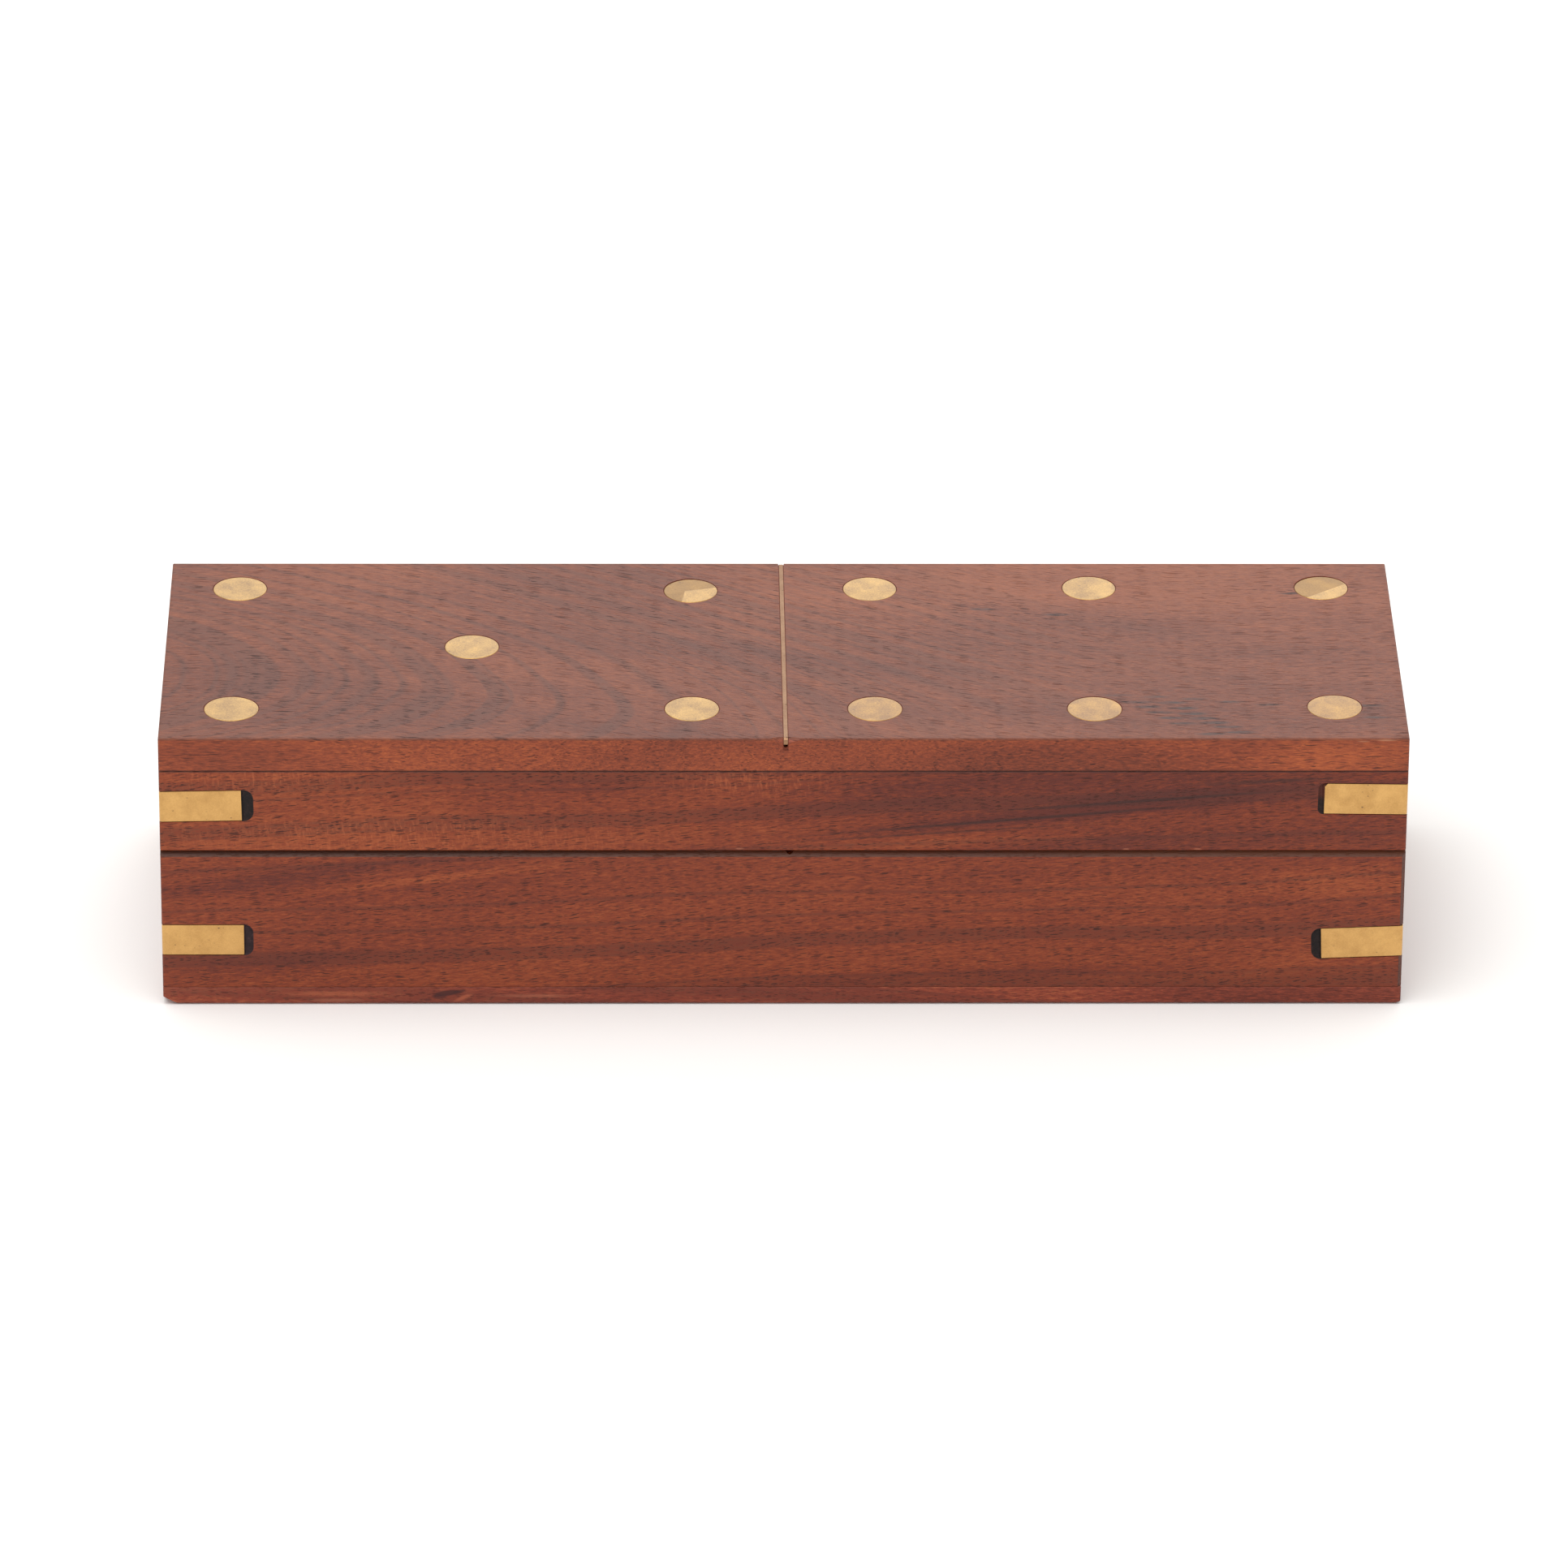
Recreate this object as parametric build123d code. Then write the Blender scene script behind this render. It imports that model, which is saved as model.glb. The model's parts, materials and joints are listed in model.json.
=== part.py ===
"""Hinged hardwood box for a set of dominoes, shaped like a domino itself.

Frame: millimetres, +X to the right along the box, +Y to the back (hinge side), +Z up.
The origin is the centre of the underside, on the plane the box stands on.

The carcass is two mitred frames of four boards each. A bottom panel is glued under the
lower frame and a thicker top panel on the upper one. Round brass pips and a brass strip
are let into the top panel, and an L-shaped brass strap is let into each corner of each
frame. Two brass butt hinges with their barrels outside the back join lid and base.
"""
from build123d import *
import os

# ---- driving dimensions ---------------------------------------------------------------
LENGTH = 200.0                # outside, left to right
DEPTH = 65.0                  # outside, front to back
WALL = 7.0                    # thickness of the boards of both frames
BOTTOM_THICKNESS = 3.2
BASE_WALL_HEIGHT = 24.5
SEAM_GAP = 0.25               # between the base's rim and the lid's rim
LID_WALL_HEIGHT = 14.2
TOP_THICKNESS = 5.85

# edges
CORNER_RADIUS = 0.35          # upright outer corners
TOP_EDGE_RADIUS = 0.3         # outer edge of the top panel
BOTTOM_EDGE_RADIUS = 0.8      # lower outer edge of the bottom panel
RIM_CHAMFER = 0.9             # outer edge of the base's rim, at the front and the back
CORNER_BEVEL = 0.55           # in the wood of the base's right front corner only
GLUE_LINE_BREAK = 0.12        # arris on each side of a glued joint
INNER_EDGE_BREAK = 0.3        # inner arris of both rims

# pips of the five and the six
PIP_DIAMETER = 8.8
PIP_THICKNESS = 2.0
PIP_END_MARGIN = 11.4         # outer column, centre to the end of the box
PIP_DIVIDER_MARGIN = 14.7     # inner column, centre to the middle of the box
PIP_FRONT_MARGIN = 10.8       # front row, centre to the front of the box
PIP_BACK_MARGIN = 9.8         # back row, centre to the back of the box
INLAY_CLEARANCE = 0.1         # all round each brass inlay

# strip across the middle of the top
STRIP_WIDTH = 0.7
STRIP_HEIGHT = 1.5
STRIP_SHIFT = 0.25            # to the right of the middle
STRIP_NOSE_RADIUS = 0.6       # top corner of each end
KERF_EXTRA_DEPTH = 0.6        # the saw kerf is this much deeper than the strip
FILED_RADIUS = 7.5            # hollow left in the front edge where the strip was filed flush
FILED_DEPTH = 0.5

# corner straps
STRAP_HEIGHT = 5.4
STRAP_LEG = 13.3              # from the corner to the end of each leg
STRAP_THICKNESS = 1.5
FILLER_LENGTH = 1.5           # dark filler left in the end of each slot
SLOT_END_RADIUS = 1.7         # corners of each slot's end
LID_STRAP_DROP = 6.0          # strap's middle below the joint under the top panel
BASE_STRAP_RISE = 8.6         # strap's middle above the bottom panel

# butt hinges
HINGE_LENGTH = 25.0
HINGE_END_MARGIN = 45.0       # hinge's middle to the end of the box
BARREL_RADIUS = 1.6
BARREL_STANDOFF = 0.25        # between the barrel and the back of the box
LEAF_THICKNESS = 1.0
LEAF_MARGIN = 1.2             # wood left between the leaf and the inside of the wall
MIDDLE_KNUCKLE = 9.0          # length of the lid's knuckle, between the base's two
KNUCKLE_GAP = 0.15
HINGE_PIN_RADIUS = 0.75
PIN_RUNNING_CLEARANCE = 0.05  # in the lid's knuckle
PIN_FAST_CLEARANCE = 0.02     # in the base's knuckles
PIN_HEAD_RADIUS = 1.1
PIN_HEAD_HEIGHT = 0.4
SCREW_SPACING = 15.0
SCREW_RADIUS = 0.9
SCREW_LENGTH = 8.0
SCREW_POINT = 1.6             # length of the tapered end
SCREW_TIP_RADIUS = 0.25
SCREW_HEAD_RADIUS = 1.75
SCREW_SLOT_WIDTH = 0.4
SCREW_SLOT_DEPTH = 0.35
PILOT_CLEARANCE = 0.03        # round and below each screw
BASE_SCREW_TURNS = (20.0, 75.0)    # where each screw's slot stopped, in degrees
LID_SCREW_TURNS = (-35.0, 10.0)

# small nick at the seam, near the middle of the front
NICK_RADIUS = 0.6
NICK_DEPTH = 2.5
NICK_SHIFT = 1.0              # to the right of the middle

# Hand-made differences between the straps: how far each sits above its nominal height,
# its tilt in degrees (clockwise seen from the front), how much longer its legs are, and how
# much longer the filler beyond them is.
STRAP_FIT = {
    "lid_front_left": (-0.35, -1.0, -0.1, 0.4),
    "lid_front_right": (0.95, 0.7, 0.1, -0.5),
    "lid_back_left": (-0.1, 0.0, 0.2, 0.0),
    "lid_back_right": (0.5, 0.0, 0.0, 0.1),
    "base_front_left": (0.0, 0.0, -0.05, 0.0),
    "base_front_right": (-0.2, -2.2, -0.1, 0.1),
    "base_back_left": (0.1, 0.0, 0.0, 0.2),
    "base_back_right": (-0.1, 0.0, 0.3, -0.1),
}

# Straps whose inner upper corners were nipped off, and by how much.
STRAP_NIPS = {"lid_front_right": 0.5, "base_back_left": 0.5}

# Pips that were set out a little off the pattern: to the right, and to the back.
PIP_SHIFTS = {
    "five_centre": (-0.3, 0.5),
    "five_back_inner": (0.0, -0.7),
    "six_back_middle": (0.7, 0.3),
    "six_back_outer": (0.3, 0.4),
    "six_front_outer": (0.0, 0.6),
}

# Worn front corners of the bottom panel: how far the wear runs along X, Y and Z.
WORN_LEFT = (2.8, 5.0, 1.5)
WORN_RIGHT = (1.4, 3.0, 0.6)

# ---- levels and lines that follow from them -------------------------------------------
RIM_LEVEL = BOTTOM_THICKNESS + BASE_WALL_HEIGHT
LID_LEVEL = RIM_LEVEL + SEAM_GAP
TOP_LEVEL = LID_LEVEL + LID_WALL_HEIGHT
HEIGHT = TOP_LEVEL + TOP_THICKNESS
HINGE_LEVEL = (RIM_LEVEL + LID_LEVEL) / 2
BARREL_REACH = BARREL_RADIUS + BARREL_STANDOFF           # from the pin to the wood
HINGE_Y = DEPTH / 2 + BARREL_REACH
HINGE_X = LENGTH / 2 - HINGE_END_MARGIN
LEAF_REACH = BARREL_REACH + WALL - LEAF_MARGIN           # from the pin to the leaf's edge
CUT = 1.0                                                # how far a tool overshoots

# How shapes are placed on their origin: standing on it, or hanging from it.
STANDING = (Align.CENTER, Align.CENTER, Align.MIN)
HANGING = (Align.CENTER, Align.CENTER, Align.MAX)


# ---- boards ---------------------------------------------------------------------------
def blank(low, high, low_edge=None, high_edge=None, high_end_edge=None):
    """Block the size of the box's outline between two levels.

    low_edge and high_edge each hold an operation, chamfer or fillet, and its size, for
    the outer edge at that level. high_end_edge holds those of the upper edge at the two
    ends of the box, if it differs there. The ends are worked first.
    """
    outline = RectangleRounded(LENGTH, DEPTH, CORNER_RADIUS)
    block = extrude(Pos(0, 0, low) * outline, high - low)
    end_edge = high_end_edge or high_edge
    for span, upright, upper_edge in (
        (LENGTH, Plane.XZ, end_edge),
        (DEPTH, Plane.YZ, high_edge),
    ):
        section = Rectangle(span, high - low)
        if low_edge:
            work, size = low_edge
            section = work(section.vertices().group_by(Axis.Y)[0], size)
        if upper_edge:
            work, size = upper_edge
            section = work(section.vertices().group_by(Axis.Y)[-1], size)
        section = upright * Pos(0, (low + high) / 2) * section
        block &= extrude(section, LENGTH + DEPTH, both=True)
    return block


def base_blank():
    arris = (chamfer, GLUE_LINE_BREAK)
    return blank(BOTTOM_THICKNESS, RIM_LEVEL, arris, (chamfer, RIM_CHAMFER), arris)


def lid_blank():
    return blank(LID_LEVEL, TOP_LEVEL, (chamfer, GLUE_LINE_BREAK), (chamfer, GLUE_LINE_BREAK))


def hollow(low, high):
    """The space between the walls, from one level to another."""
    inside = Rectangle(LENGTH - 2 * WALL, DEPTH - 2 * WALL)
    return extrude(Pos(0, 0, low) * inside, high - low)


def inner_break(level, into_wood):
    """Tool that eases the inner arris of a rim. into_wood is -1 if the wood is below."""
    length, depth = LENGTH - 2 * WALL, DEPTH - 2 * WALL
    wide = Rectangle(length + 2 * INNER_EDGE_BREAK, depth + 2 * INNER_EDGE_BREAK)
    narrow = Pos(0, 0, into_wood * INNER_EDGE_BREAK) * Rectangle(length, depth)
    return Pos(0, 0, level) * loft([wide, narrow])


def nick():
    """Small round nick in the front edge of the base's rim."""
    drill = Rot(-90, 0, 0) * Cylinder(NICK_RADIUS, NICK_DEPTH, align=STANDING)
    return Pos(NICK_SHIFT, -DEPTH / 2, RIM_LEVEL) * drill


def corner_bevel():
    """Tool for the bevel down the base's right front corner: a square bar on its edge."""
    bar = Box(CORNER_BEVEL * 2**0.5, CORNER_BEVEL * 2**0.5, HEIGHT, align=STANDING)
    return Pos(LENGTH / 2, -DEPTH / 2, 0) * Rot(0, 0, 45) * bar


def base_ring():
    """The four walls of the base in one, before the slots and mortises."""
    ring = base_blank() - hollow(BOTTOM_THICKNESS, RIM_LEVEL)
    return ring - inner_break(RIM_LEVEL, -1) - nick() - corner_bevel()


def lid_ring():
    """The four walls of the lid in one, before the slots and mortises."""
    ring = lid_blank() - hollow(LID_LEVEL, TOP_LEVEL)
    return ring - inner_break(LID_LEVEL, 1)


def mitred_half(corners):
    """Tool that holds one board of a ring: a tall block over an outline with mitred ends."""
    outline = make_face(Polyline(*corners, close=True))
    return extrude(outline, HEIGHT)


def mitred_boards(ring):
    """Cuts a ring of walls along its mitres into front, back, left and right boards."""
    outer_x, outer_y = LENGTH / 2 + CUT, DEPTH / 2 + CUT
    inner_x, inner_y = LENGTH / 2 - WALL - CUT, DEPTH / 2 - WALL - CUT
    front = mitred_half(
        [(-outer_x, -outer_y), (outer_x, -outer_y), (inner_x, -inner_y), (-inner_x, -inner_y)]
    )
    left = mitred_half(
        [(-outer_x, outer_y), (-outer_x, -outer_y), (-inner_x, -inner_y), (-inner_x, inner_y)]
    )
    return {
        "front_wall": ring & front,
        "back_wall": ring & mirror(front, Plane.XZ),
        "left_wall": ring & left,
        "right_wall": ring & mirror(left, Plane.YZ),
    }


def worn_corner(side, wear):
    """Tool that takes off a front lower corner. side is -1 for left and 1 for right."""
    along_x, along_y, along_z = wear
    tip = Vector(side * LENGTH / 2, -DEPTH / 2, 0)
    on_x = tip - Vector(side * along_x, 0, 0)
    on_y = tip + Vector(0, along_y, 0)
    on_z = tip + Vector(0, 0, along_z)
    outward = (on_y - on_x).cross(on_z - on_x).normalized() * side
    size = 4 * max(wear)
    return Plane(origin=on_x, z_dir=outward) * Box(size, size, size, align=STANDING)


def bottom_panel():
    panel = blank(0, BOTTOM_THICKNESS, (fillet, BOTTOM_EDGE_RADIUS), (chamfer, GLUE_LINE_BREAK))
    return panel - worn_corner(-1, WORN_LEFT) - worn_corner(1, WORN_RIGHT)


# ---- brass in the top panel -----------------------------------------------------------
def pip_places():
    """Name and centre of each pip: a five on the left half and a six on the right."""
    inner, middle, outer = PIP_DIVIDER_MARGIN, LENGTH / 4, LENGTH / 2 - PIP_END_MARGIN
    rows = {"front": PIP_FRONT_MARGIN - DEPTH / 2, "back": DEPTH / 2 - PIP_BACK_MARGIN}
    places = {"five_centre": (-middle, sum(rows.values()) / 2)}
    for row, y in rows.items():
        places[f"five_{row}_outer"] = (-outer, y)
        places[f"five_{row}_inner"] = (-inner, y)
        places[f"six_{row}_inner"] = (inner, y)
        places[f"six_{row}_middle"] = (middle, y)
        places[f"six_{row}_outer"] = (outer, y)
    for name, (right, back) in PIP_SHIFTS.items():
        x, y = places[name]
        places[name] = (x + right, y + back)
    return places


def pip(place):
    disc = Cylinder(PIP_DIAMETER / 2, PIP_THICKNESS, align=HANGING)
    return Pos(*place, HEIGHT) * disc


def pip_hole(place):
    drill = Cylinder(PIP_DIAMETER / 2 + INLAY_CLEARANCE, PIP_THICKNESS + CUT, align=STANDING)
    return Pos(*place, HEIGHT - PIP_THICKNESS) * drill


def filed_hollow():
    """Tool for the shallow hollow filed across the front edge at the strip's end."""
    file = Pos(0, 0, FILED_RADIUS - FILED_DEPTH) * Rot(90, 0, 0) * Cylinder(FILED_RADIUS, DEPTH)
    return Pos(STRIP_SHIFT, -DEPTH / 2, HEIGHT) * Rot(45, 0, 0) * file


def divider_strip():
    """Brass strip on edge, its top corners rounded over the panel's edges."""
    strip = Box(STRIP_WIDTH, DEPTH, STRIP_HEIGHT, align=HANGING)
    ends = strip.edges().filter_by(Axis.X).group_by(Axis.Z)[-1]
    return Pos(STRIP_SHIFT, 0, HEIGHT) * fillet(ends, STRIP_NOSE_RADIUS) - filed_hollow()


def divider_kerf():
    depth = STRIP_HEIGHT + KERF_EXTRA_DEPTH
    saw = Box(STRIP_WIDTH + 2 * INLAY_CLEARANCE, DEPTH + 2 * CUT, depth + CUT, align=STANDING)
    return Pos(STRIP_SHIFT, 0, HEIGHT - depth) * saw


def top_panel():
    panel = blank(TOP_LEVEL, HEIGHT, (chamfer, GLUE_LINE_BREAK), (fillet, TOP_EDGE_RADIUS))
    for place in pip_places().values():
        panel -= pip_hole(place)
    return panel - divider_kerf() - filed_hollow()


# ---- corner straps --------------------------------------------------------------------
def at_corner(leg, name):
    """A leg drawn along +X from a front left corner, with its twin, at the named corner."""
    body, row, end = name.split("_")
    raised, tilt, _, _ = STRAP_FIT[name]
    level = TOP_LEVEL - LID_STRAP_DROP if body == "lid" else BOTTOM_THICKNESS + BASE_STRAP_RISE
    bent = leg + mirror(leg, Plane(origin=(0, 0, 0), z_dir=(1, -1, 0)))
    if end == "right":
        bent = mirror(bent, Plane.YZ)
    if row == "back":
        bent = mirror(bent, Plane.XZ)
    x = LENGTH / 2 if end == "right" else -LENGTH / 2
    y = DEPTH / 2 if row == "back" else -DEPTH / 2
    return Pos(x, y, level + raised) * Rot(0, tilt, 0) * bent


def strap_leg(length, height):
    """Bar along +X whose outer face stands proud, to be filed flush with the wood."""
    size = (length + CUT, STRAP_THICKNESS + CUT, height)
    return Pos(-CUT, -CUT, 0) * Box(*size, align=(Align.MIN, Align.MIN, Align.CENTER))


def nipped(leg, size):
    """The same bar with the upper corner of its free end cut off at 45 degrees."""
    corner = leg.edges().filter_by(Axis.Y).group_by(Axis.X)[-1].sort_by(Axis.Z)[-1]
    return chamfer(corner, size)


def slot_leg(length, filler_length, height):
    """One leg of the slot: longer than the strap, with rounded corners at its end."""
    leg = strap_leg(length + filler_length, height)
    corners = leg.edges().filter_by(Axis.Y).group_by(Axis.X)[-1]
    return fillet(corners, min(SLOT_END_RADIUS, filler_length))


def strap_parts(name, envelope):
    """The strap, the filler in the ends of its slot, and the slot itself."""
    length = STRAP_LEG + STRAP_FIT[name][2]
    filler_length = FILLER_LENGTH + STRAP_FIT[name][3]
    slot_height = STRAP_HEIGHT + 2 * INLAY_CLEARANCE
    leg = strap_leg(length, STRAP_HEIGHT)
    room = strap_leg(length, slot_height)
    if name in STRAP_NIPS:
        leg = nipped(leg, STRAP_NIPS[name])
        room = nipped(room, STRAP_NIPS[name])
    strap = at_corner(leg, name)
    slot = at_corner(slot_leg(length, filler_length, slot_height), name)
    return strap & envelope, (slot - at_corner(room, name)) & envelope, slot


# ---- hinges ---------------------------------------------------------------------------
# Each piece is drawn closed, with the pin on the X axis and the wood on the -Y side. The
# base's leaf lies under the pin, and the lid's pieces are its mirror image over the pin.
def knuckle(start, end, bore):
    tube = Cylinder(BARREL_RADIUS, end - start, align=STANDING)
    tube -= Cylinder(bore, end - start, align=STANDING)
    return Pos(start, 0, 0) * Rot(0, 90, 0) * tube


def knuckle_room(start, end):
    """Room cut in one leaf for a knuckle of the other."""
    size = (end - start, 2 * BARREL_REACH, 2 * BARREL_REACH)
    return Pos(start, 0, 0) * Box(*size, align=(Align.MIN, Align.CENTER, Align.CENTER))


def screw_places():
    """Each screw stands in the middle of the wall, its head flush with the leaf."""
    y = WALL / 2 - WALL - BARREL_REACH
    return [Pos(x, y, -SEAM_GAP / 2) for x in (-SCREW_SPACING / 2, SCREW_SPACING / 2)]


def screw_head():
    """Countersunk head of 90 degrees, its flat face at the origin."""
    return Cone(SCREW_RADIUS, SCREW_HEAD_RADIUS, SCREW_HEAD_RADIUS - SCREW_RADIUS, align=HANGING)


def screw(turn):
    """Slotted wood screw, point down."""
    shank = Cylinder(SCREW_RADIUS, SCREW_LENGTH - SCREW_POINT, align=HANGING)
    point = Cone(SCREW_TIP_RADIUS, SCREW_RADIUS, SCREW_POINT, align=HANGING)
    body = screw_head() + shank + Pos(0, 0, SCREW_POINT - SCREW_LENGTH) * point
    slot = Box(2 * SCREW_HEAD_RADIUS, SCREW_SLOT_WIDTH, 2 * SCREW_SLOT_DEPTH)
    return body - Rot(0, 0, turn) * slot


def screw_pair(turns):
    return [place * screw(turn) for place, turn in zip(screw_places(), turns)]


def leaf_plate():
    """Flat part of the base's leaf, with its countersunk holes."""
    size = (HINGE_LENGTH, LEAF_REACH, LEAF_THICKNESS)
    plate = Box(*size, align=(Align.CENTER, Align.MAX, Align.MAX))
    plate = Pos(0, 0, -SEAM_GAP / 2) * plate
    for place in screw_places():
        plate -= place * (screw_head() + pilot_hole())
    return plate


def pilot_hole():
    radius, depth = SCREW_RADIUS + PILOT_CLEARANCE, SCREW_LENGTH + PILOT_CLEARANCE
    return Cylinder(radius, depth, align=HANGING)


def leaf_mortise():
    """Recess for the base's leaf, flush with the rim and open at the back."""
    size = (HINGE_LENGTH + 2 * INLAY_CLEARANCE, LEAF_REACH + INLAY_CLEARANCE, LEAF_THICKNESS + CUT)
    recess = Box(*size, align=(Align.CENTER, Align.MAX, Align.MAX))
    recess = Pos(0, 0, CUT - SEAM_GAP / 2) * recess
    for place in screw_places():
        recess += place * pilot_hole()
    return recess


def pin_bore(radius):
    return Rot(0, 90, 0) * Cylinder(radius, HINGE_LENGTH + CUT)


def base_leaf():
    """Leaf with the two outer knuckles, which hold the pin fast."""
    end, gap_end = HINGE_LENGTH / 2, MIDDLE_KNUCKLE / 2 + KNUCKLE_GAP
    bore = HINGE_PIN_RADIUS + PIN_FAST_CLEARANCE
    leaf = leaf_plate() - knuckle_room(-gap_end, gap_end)
    leaf += knuckle(-end, -gap_end, bore)
    leaf += knuckle(gap_end, end, bore)
    return leaf - pin_bore(bore)


def lid_leaf():
    """Leaf with the middle knuckle, which turns on the pin."""
    end, middle_end = HINGE_LENGTH / 2, MIDDLE_KNUCKLE / 2
    bore = HINGE_PIN_RADIUS + PIN_RUNNING_CLEARANCE
    leaf = mirror(leaf_plate(), Plane.XY)
    leaf -= knuckle_room(-end, -middle_end)
    leaf -= knuckle_room(middle_end, end)
    leaf += knuckle(-middle_end, middle_end, bore)
    return leaf - pin_bore(bore)


def hinge_pin():
    """Plain pin with a low rivet head at each end."""
    head = Cylinder(PIN_HEAD_RADIUS, PIN_HEAD_HEIGHT, align=STANDING)
    head = chamfer(head.edges().group_by(Axis.Z)[-1], PIN_HEAD_HEIGHT / 2)
    head = Pos(0, 0, HINGE_LENGTH / 2) * head
    shaft = Cylinder(HINGE_PIN_RADIUS, HINGE_LENGTH)
    return Rot(0, 90, 0) * (shaft + head + mirror(head, Plane.XY))


# ---- assembly -------------------------------------------------------------------------
def build():
    """Every piece of the box by name."""
    pieces = {"lid_top_panel": top_panel(), "base_bottom_panel": bottom_panel()}
    pieces["divider_strip"] = divider_strip()
    for name, place in pip_places().items():
        pieces[f"pip_{name}"] = pip(place)

    rings = {"base": base_ring(), "lid": lid_ring()}
    envelopes = {"base": base_blank(), "lid": lid_blank()}
    for name in STRAP_FIT:
        body = name.split("_")[0]
        strap, filler, slot = strap_parts(name, envelopes[body])
        pieces[f"{name}_strap"] = strap
        pieces[f"{name}_filler"] = filler
        rings[body] -= slot

    for side, x in (("left", -HINGE_X), ("right", HINGE_X)):
        spot = Pos(x, HINGE_Y, HINGE_LEVEL)
        lid_screws = [mirror(one, Plane.XY) for one in screw_pair(LID_SCREW_TURNS)]
        pieces[f"{side}_hinge_base_leaf"] = spot * base_leaf()
        pieces[f"{side}_hinge_lid_leaf"] = spot * lid_leaf()
        pieces[f"{side}_hinge_pin"] = spot * hinge_pin()
        pieces[f"{side}_hinge_base_screws"] = spot * Compound(children=screw_pair(BASE_SCREW_TURNS))
        pieces[f"{side}_hinge_lid_screws"] = spot * Compound(children=lid_screws)
        rings["base"] -= spot * leaf_mortise()
        rings["lid"] -= spot * mirror(leaf_mortise(), Plane.XY)

    for body, ring in rings.items():
        for part, board in mitred_boards(ring).items():
            pieces[f"{body}_{part}"] = board
    return pieces


os.makedirs("parts", exist_ok=True)
for piece_name, shape in build().items():
    export_step(shape, f"parts/{piece_name}.step")
print(f"height {HEIGHT:.2f}, rim at {RIM_LEVEL:.2f}, pin at y {HINGE_Y:.3f} z {HINGE_LEVEL:.3f}")
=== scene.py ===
# %% [markdown]
# # A hinged box for a set of dominoes
#
# The real object is a small box of red-brown sheesham with brass set into it: eleven round
# pips and a thin strip in the top, an L-shaped strap let into every corner, and two butt
# hinges behind. The exact solids come from CAD. This lesson gives them their finishes,
# models the brass that was cut and filed by hand, and puts the box in a soft white studio.

import json
import math

import bmesh
import bpy
from mathutils import Matrix, Vector

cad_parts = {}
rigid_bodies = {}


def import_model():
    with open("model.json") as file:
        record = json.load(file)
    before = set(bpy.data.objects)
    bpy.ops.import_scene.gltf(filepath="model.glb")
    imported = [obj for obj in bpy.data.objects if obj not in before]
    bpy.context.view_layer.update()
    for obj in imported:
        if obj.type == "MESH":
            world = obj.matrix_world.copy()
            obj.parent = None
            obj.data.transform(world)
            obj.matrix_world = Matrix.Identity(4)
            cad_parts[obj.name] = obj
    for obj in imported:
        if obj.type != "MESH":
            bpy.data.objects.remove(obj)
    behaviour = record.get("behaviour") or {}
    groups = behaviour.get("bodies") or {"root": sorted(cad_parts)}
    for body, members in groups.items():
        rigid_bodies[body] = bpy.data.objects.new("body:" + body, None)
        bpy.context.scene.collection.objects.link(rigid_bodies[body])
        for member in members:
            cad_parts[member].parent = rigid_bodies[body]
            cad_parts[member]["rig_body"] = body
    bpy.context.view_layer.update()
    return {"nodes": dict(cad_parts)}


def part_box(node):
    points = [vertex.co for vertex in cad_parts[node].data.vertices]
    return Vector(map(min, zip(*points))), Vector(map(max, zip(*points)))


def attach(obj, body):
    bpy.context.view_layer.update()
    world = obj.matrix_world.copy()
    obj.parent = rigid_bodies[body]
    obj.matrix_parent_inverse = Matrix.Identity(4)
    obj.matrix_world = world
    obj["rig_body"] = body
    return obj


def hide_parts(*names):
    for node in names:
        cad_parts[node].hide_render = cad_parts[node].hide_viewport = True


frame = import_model()
nodes = frame["nodes"]
MM = 0.001                    # Blender works in metres, and a maker in millimetres

# %% [markdown]
# ## The camera
#
# A photograph can be matched in two ways: by pushing a camera about until things line up, or
# by working out where the camera stood. The second is used here. A box has known corners, so
# the place, the three turns and the focal length follow from where the corners fall in the
# picture. The photographer stood far back with a long lens, which is why the sides of the box
# hardly converge. The small roll is the photographer's, who didn't hold it quite level.

# %% Place the camera
CAMERA_DISTANCE = 1.77794     # from the middle of the box's height
CAMERA_PITCH = math.radians(26.707)
CAMERA_YAW = math.radians(0.895)
CAMERA_ROLL = math.radians(0.397)
CAMERA_RIGHT = 0.519 * MM     # how far the view is off the middle of the box
CAMERA_UP = -0.396 * MM
FOCAL_LENGTH_PX = 13412.66    # for a picture 1932 pixels wide
PICTURE_PX = 1932
SENSOR_MM = 36.0

forward = Vector((math.sin(CAMERA_YAW) * math.cos(CAMERA_PITCH),
                  math.cos(CAMERA_YAW) * math.cos(CAMERA_PITCH),
                  -math.sin(CAMERA_PITCH)))
right = Vector((math.cos(CAMERA_YAW), -math.sin(CAMERA_YAW), 0.0))
up = right.cross(forward)
aim = Vector((0.0, 0.0, 24 * MM)) + right * CAMERA_RIGHT + up * CAMERA_UP
rolled_right = right * math.cos(CAMERA_ROLL) + up * math.sin(CAMERA_ROLL)
rolled_up = up * math.cos(CAMERA_ROLL) - right * math.sin(CAMERA_ROLL)

lens = bpy.data.cameras.new("long_lens")
lens.sensor_width = SENSOR_MM
lens.lens = SENSOR_MM * FOCAL_LENGTH_PX / PICTURE_PX
lens.clip_start, lens.clip_end = 0.1, 20.0
camera = bpy.data.objects.new("camera", lens)
turn = Matrix((rolled_right, rolled_up, -forward)).transposed().to_4x4()
camera.matrix_world = Matrix.Translation(aim - forward * CAMERA_DISTANCE) @ turn
bpy.context.scene.collection.objects.link(camera)
bpy.context.scene.camera = camera
print("lens", round(lens.lens, 1), "mm, camera at", [round(c, 3) for c in camera.location])

# %% [markdown]
# ## Colours
#
# A colour read off a screen is coded in sRGB, and a shader wants plain linear light. One
# function turns the first into the second, so that every colour below can be a hex value.

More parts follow.
